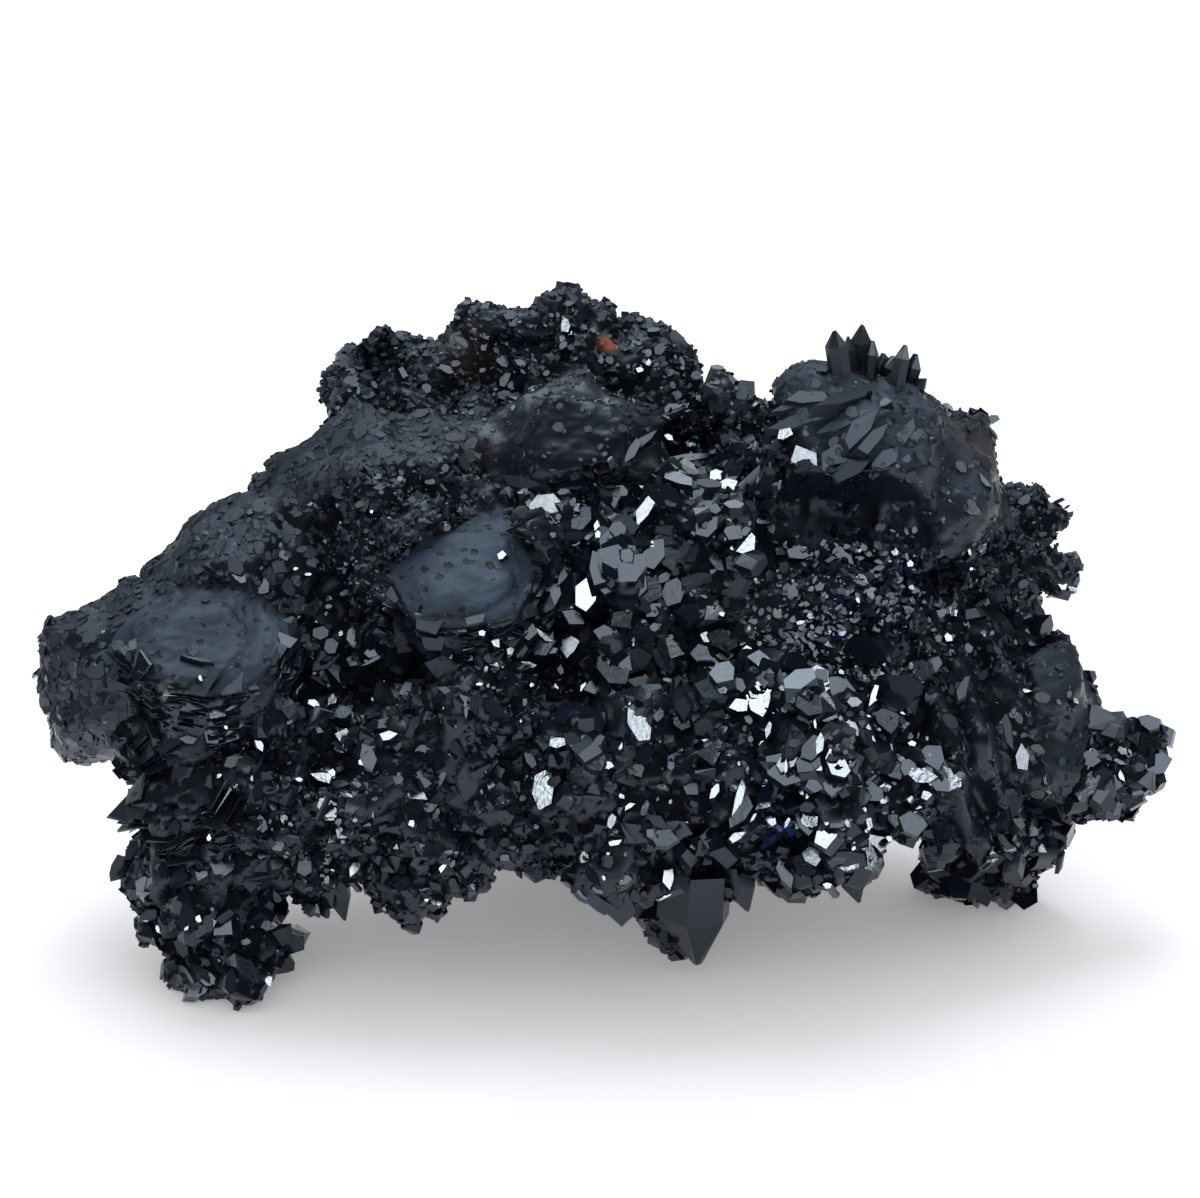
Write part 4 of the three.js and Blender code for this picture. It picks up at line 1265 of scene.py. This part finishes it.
def makeAzurite():
    material = bpy.data.materials.new("azurite")
    material.use_nodes = True
    tree = material.node_tree
    at = addNode(tree, "TexCoord", {})["Object"]
    frost = addNode(tree, "Attribute", {}, attribute_name="frost")["Fac"]
    # pits with wavering rims in the frosted skin: 0 on a pit's floor, 1 outside
    warp = addNoise(tree, at, azurite["warpSize"])["Color"]
    shift = Vector((1.0, 1.0, 1.0)) * azurite["pitWarp"] * mm
    warped = addNode(tree, "VectorMath", {0: warp, 1: shift, 2: at}, operation="MULTIPLY_ADD")["Vector"]
    cells = addNode(tree, "TexVoronoi", {"Vector": warped, "Scale": 1.0 / (azurite["pitSize"] * mm)})
    chance = addNode(tree, "SeparateColor", {"Color": cells["Color"]})["Red"]
    spared = addRange(tree, chance, azurite["spared"])
    pits = addMath(tree, "MAXIMUM", spared, addRange(tree, cells["Distance"], azurite["pitRadius"]))
    # the slate coat, worn in patches and missing in the pits
    cloud = addNoise(tree, at, azurite["cloudSize"], Detail=azurite["cloudDetail"])["Fac"]
    patchy = addRange(tree, cloud, azurite["cloudSpan"], azurite["cloudCover"])
    coat = addRange(tree, frost, (azurite["slateFrom"], 1.0))
    worn = addMath(tree, "MULTIPLY", addMath(tree, "MULTIPLY", coat, pits), patchy)
    colour = mixColour(tree, worn, toneColour(tree), azurite["slate"])
    colour = stainColour(tree, at, patchy, colour)
    # etching makes the gloss uneven and, with the pits, the relief
    etch = addNoise(tree, at, azurite["etchSize"], Detail=azurite["etchDetail"])["Fac"]
    uneven = addMath(tree, "MULTIPLY_ADD", etch, azurite["etchRoughness"], frost)
    gloss = (azurite["smoothRoughness"], azurite["frostRoughness"])
    shallow = addMath(tree, "MULTIPLY", etch, azurite["etchHeight"])
    height = addMath(tree, "MULTIPLY_ADD", coat, pits, shallow)
    relief = {"Height": height, "Strength": azurite["bumpStrength"], "Distance": azurite["bumpDepth"] * mm}
    fillNode(tree, tree.nodes["Principled BSDF"], {
        "IOR": azurite["ior"],
        "Specular Tint": azurite["glossTint"],
        "Base Color": colour,
        "Roughness": addRange(tree, uneven, (0.0, azurite["dullFrom"]), gloss),
        "Normal": addNode(tree, "Bump", relief)["Normal"],
    })
    return material


azuriteMaterial = makeAzurite()
for piece in [bodyPiece] + crystalPieces:
    piece.data.materials.append(azuriteMaterial)
    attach(piece, "root")
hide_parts("azurite")

# All lamps but the overhead one shine on the crystals only, not on the skin between them, and the lamps
# behind the specimen only on these kinds, which also grow at the back
backMirrors = ("coarseCrystals", "tabularCrystals", "druseCrystals")
for name in lights:
    if name != "overhead":
        mirrors = bpy.data.collections.new(name + "Mirrors")
        for piece in crystalPieces:
            if piece.name in backMirrors or not name.endswith("Back"):
                mirrors.objects.link(piece)
        bpy.data.objects[name].light_linking.receiver_collection = mirrors
print("material given to", 1 + len(crystalPieces), "pieces")

bpy.context.view_layer.update()
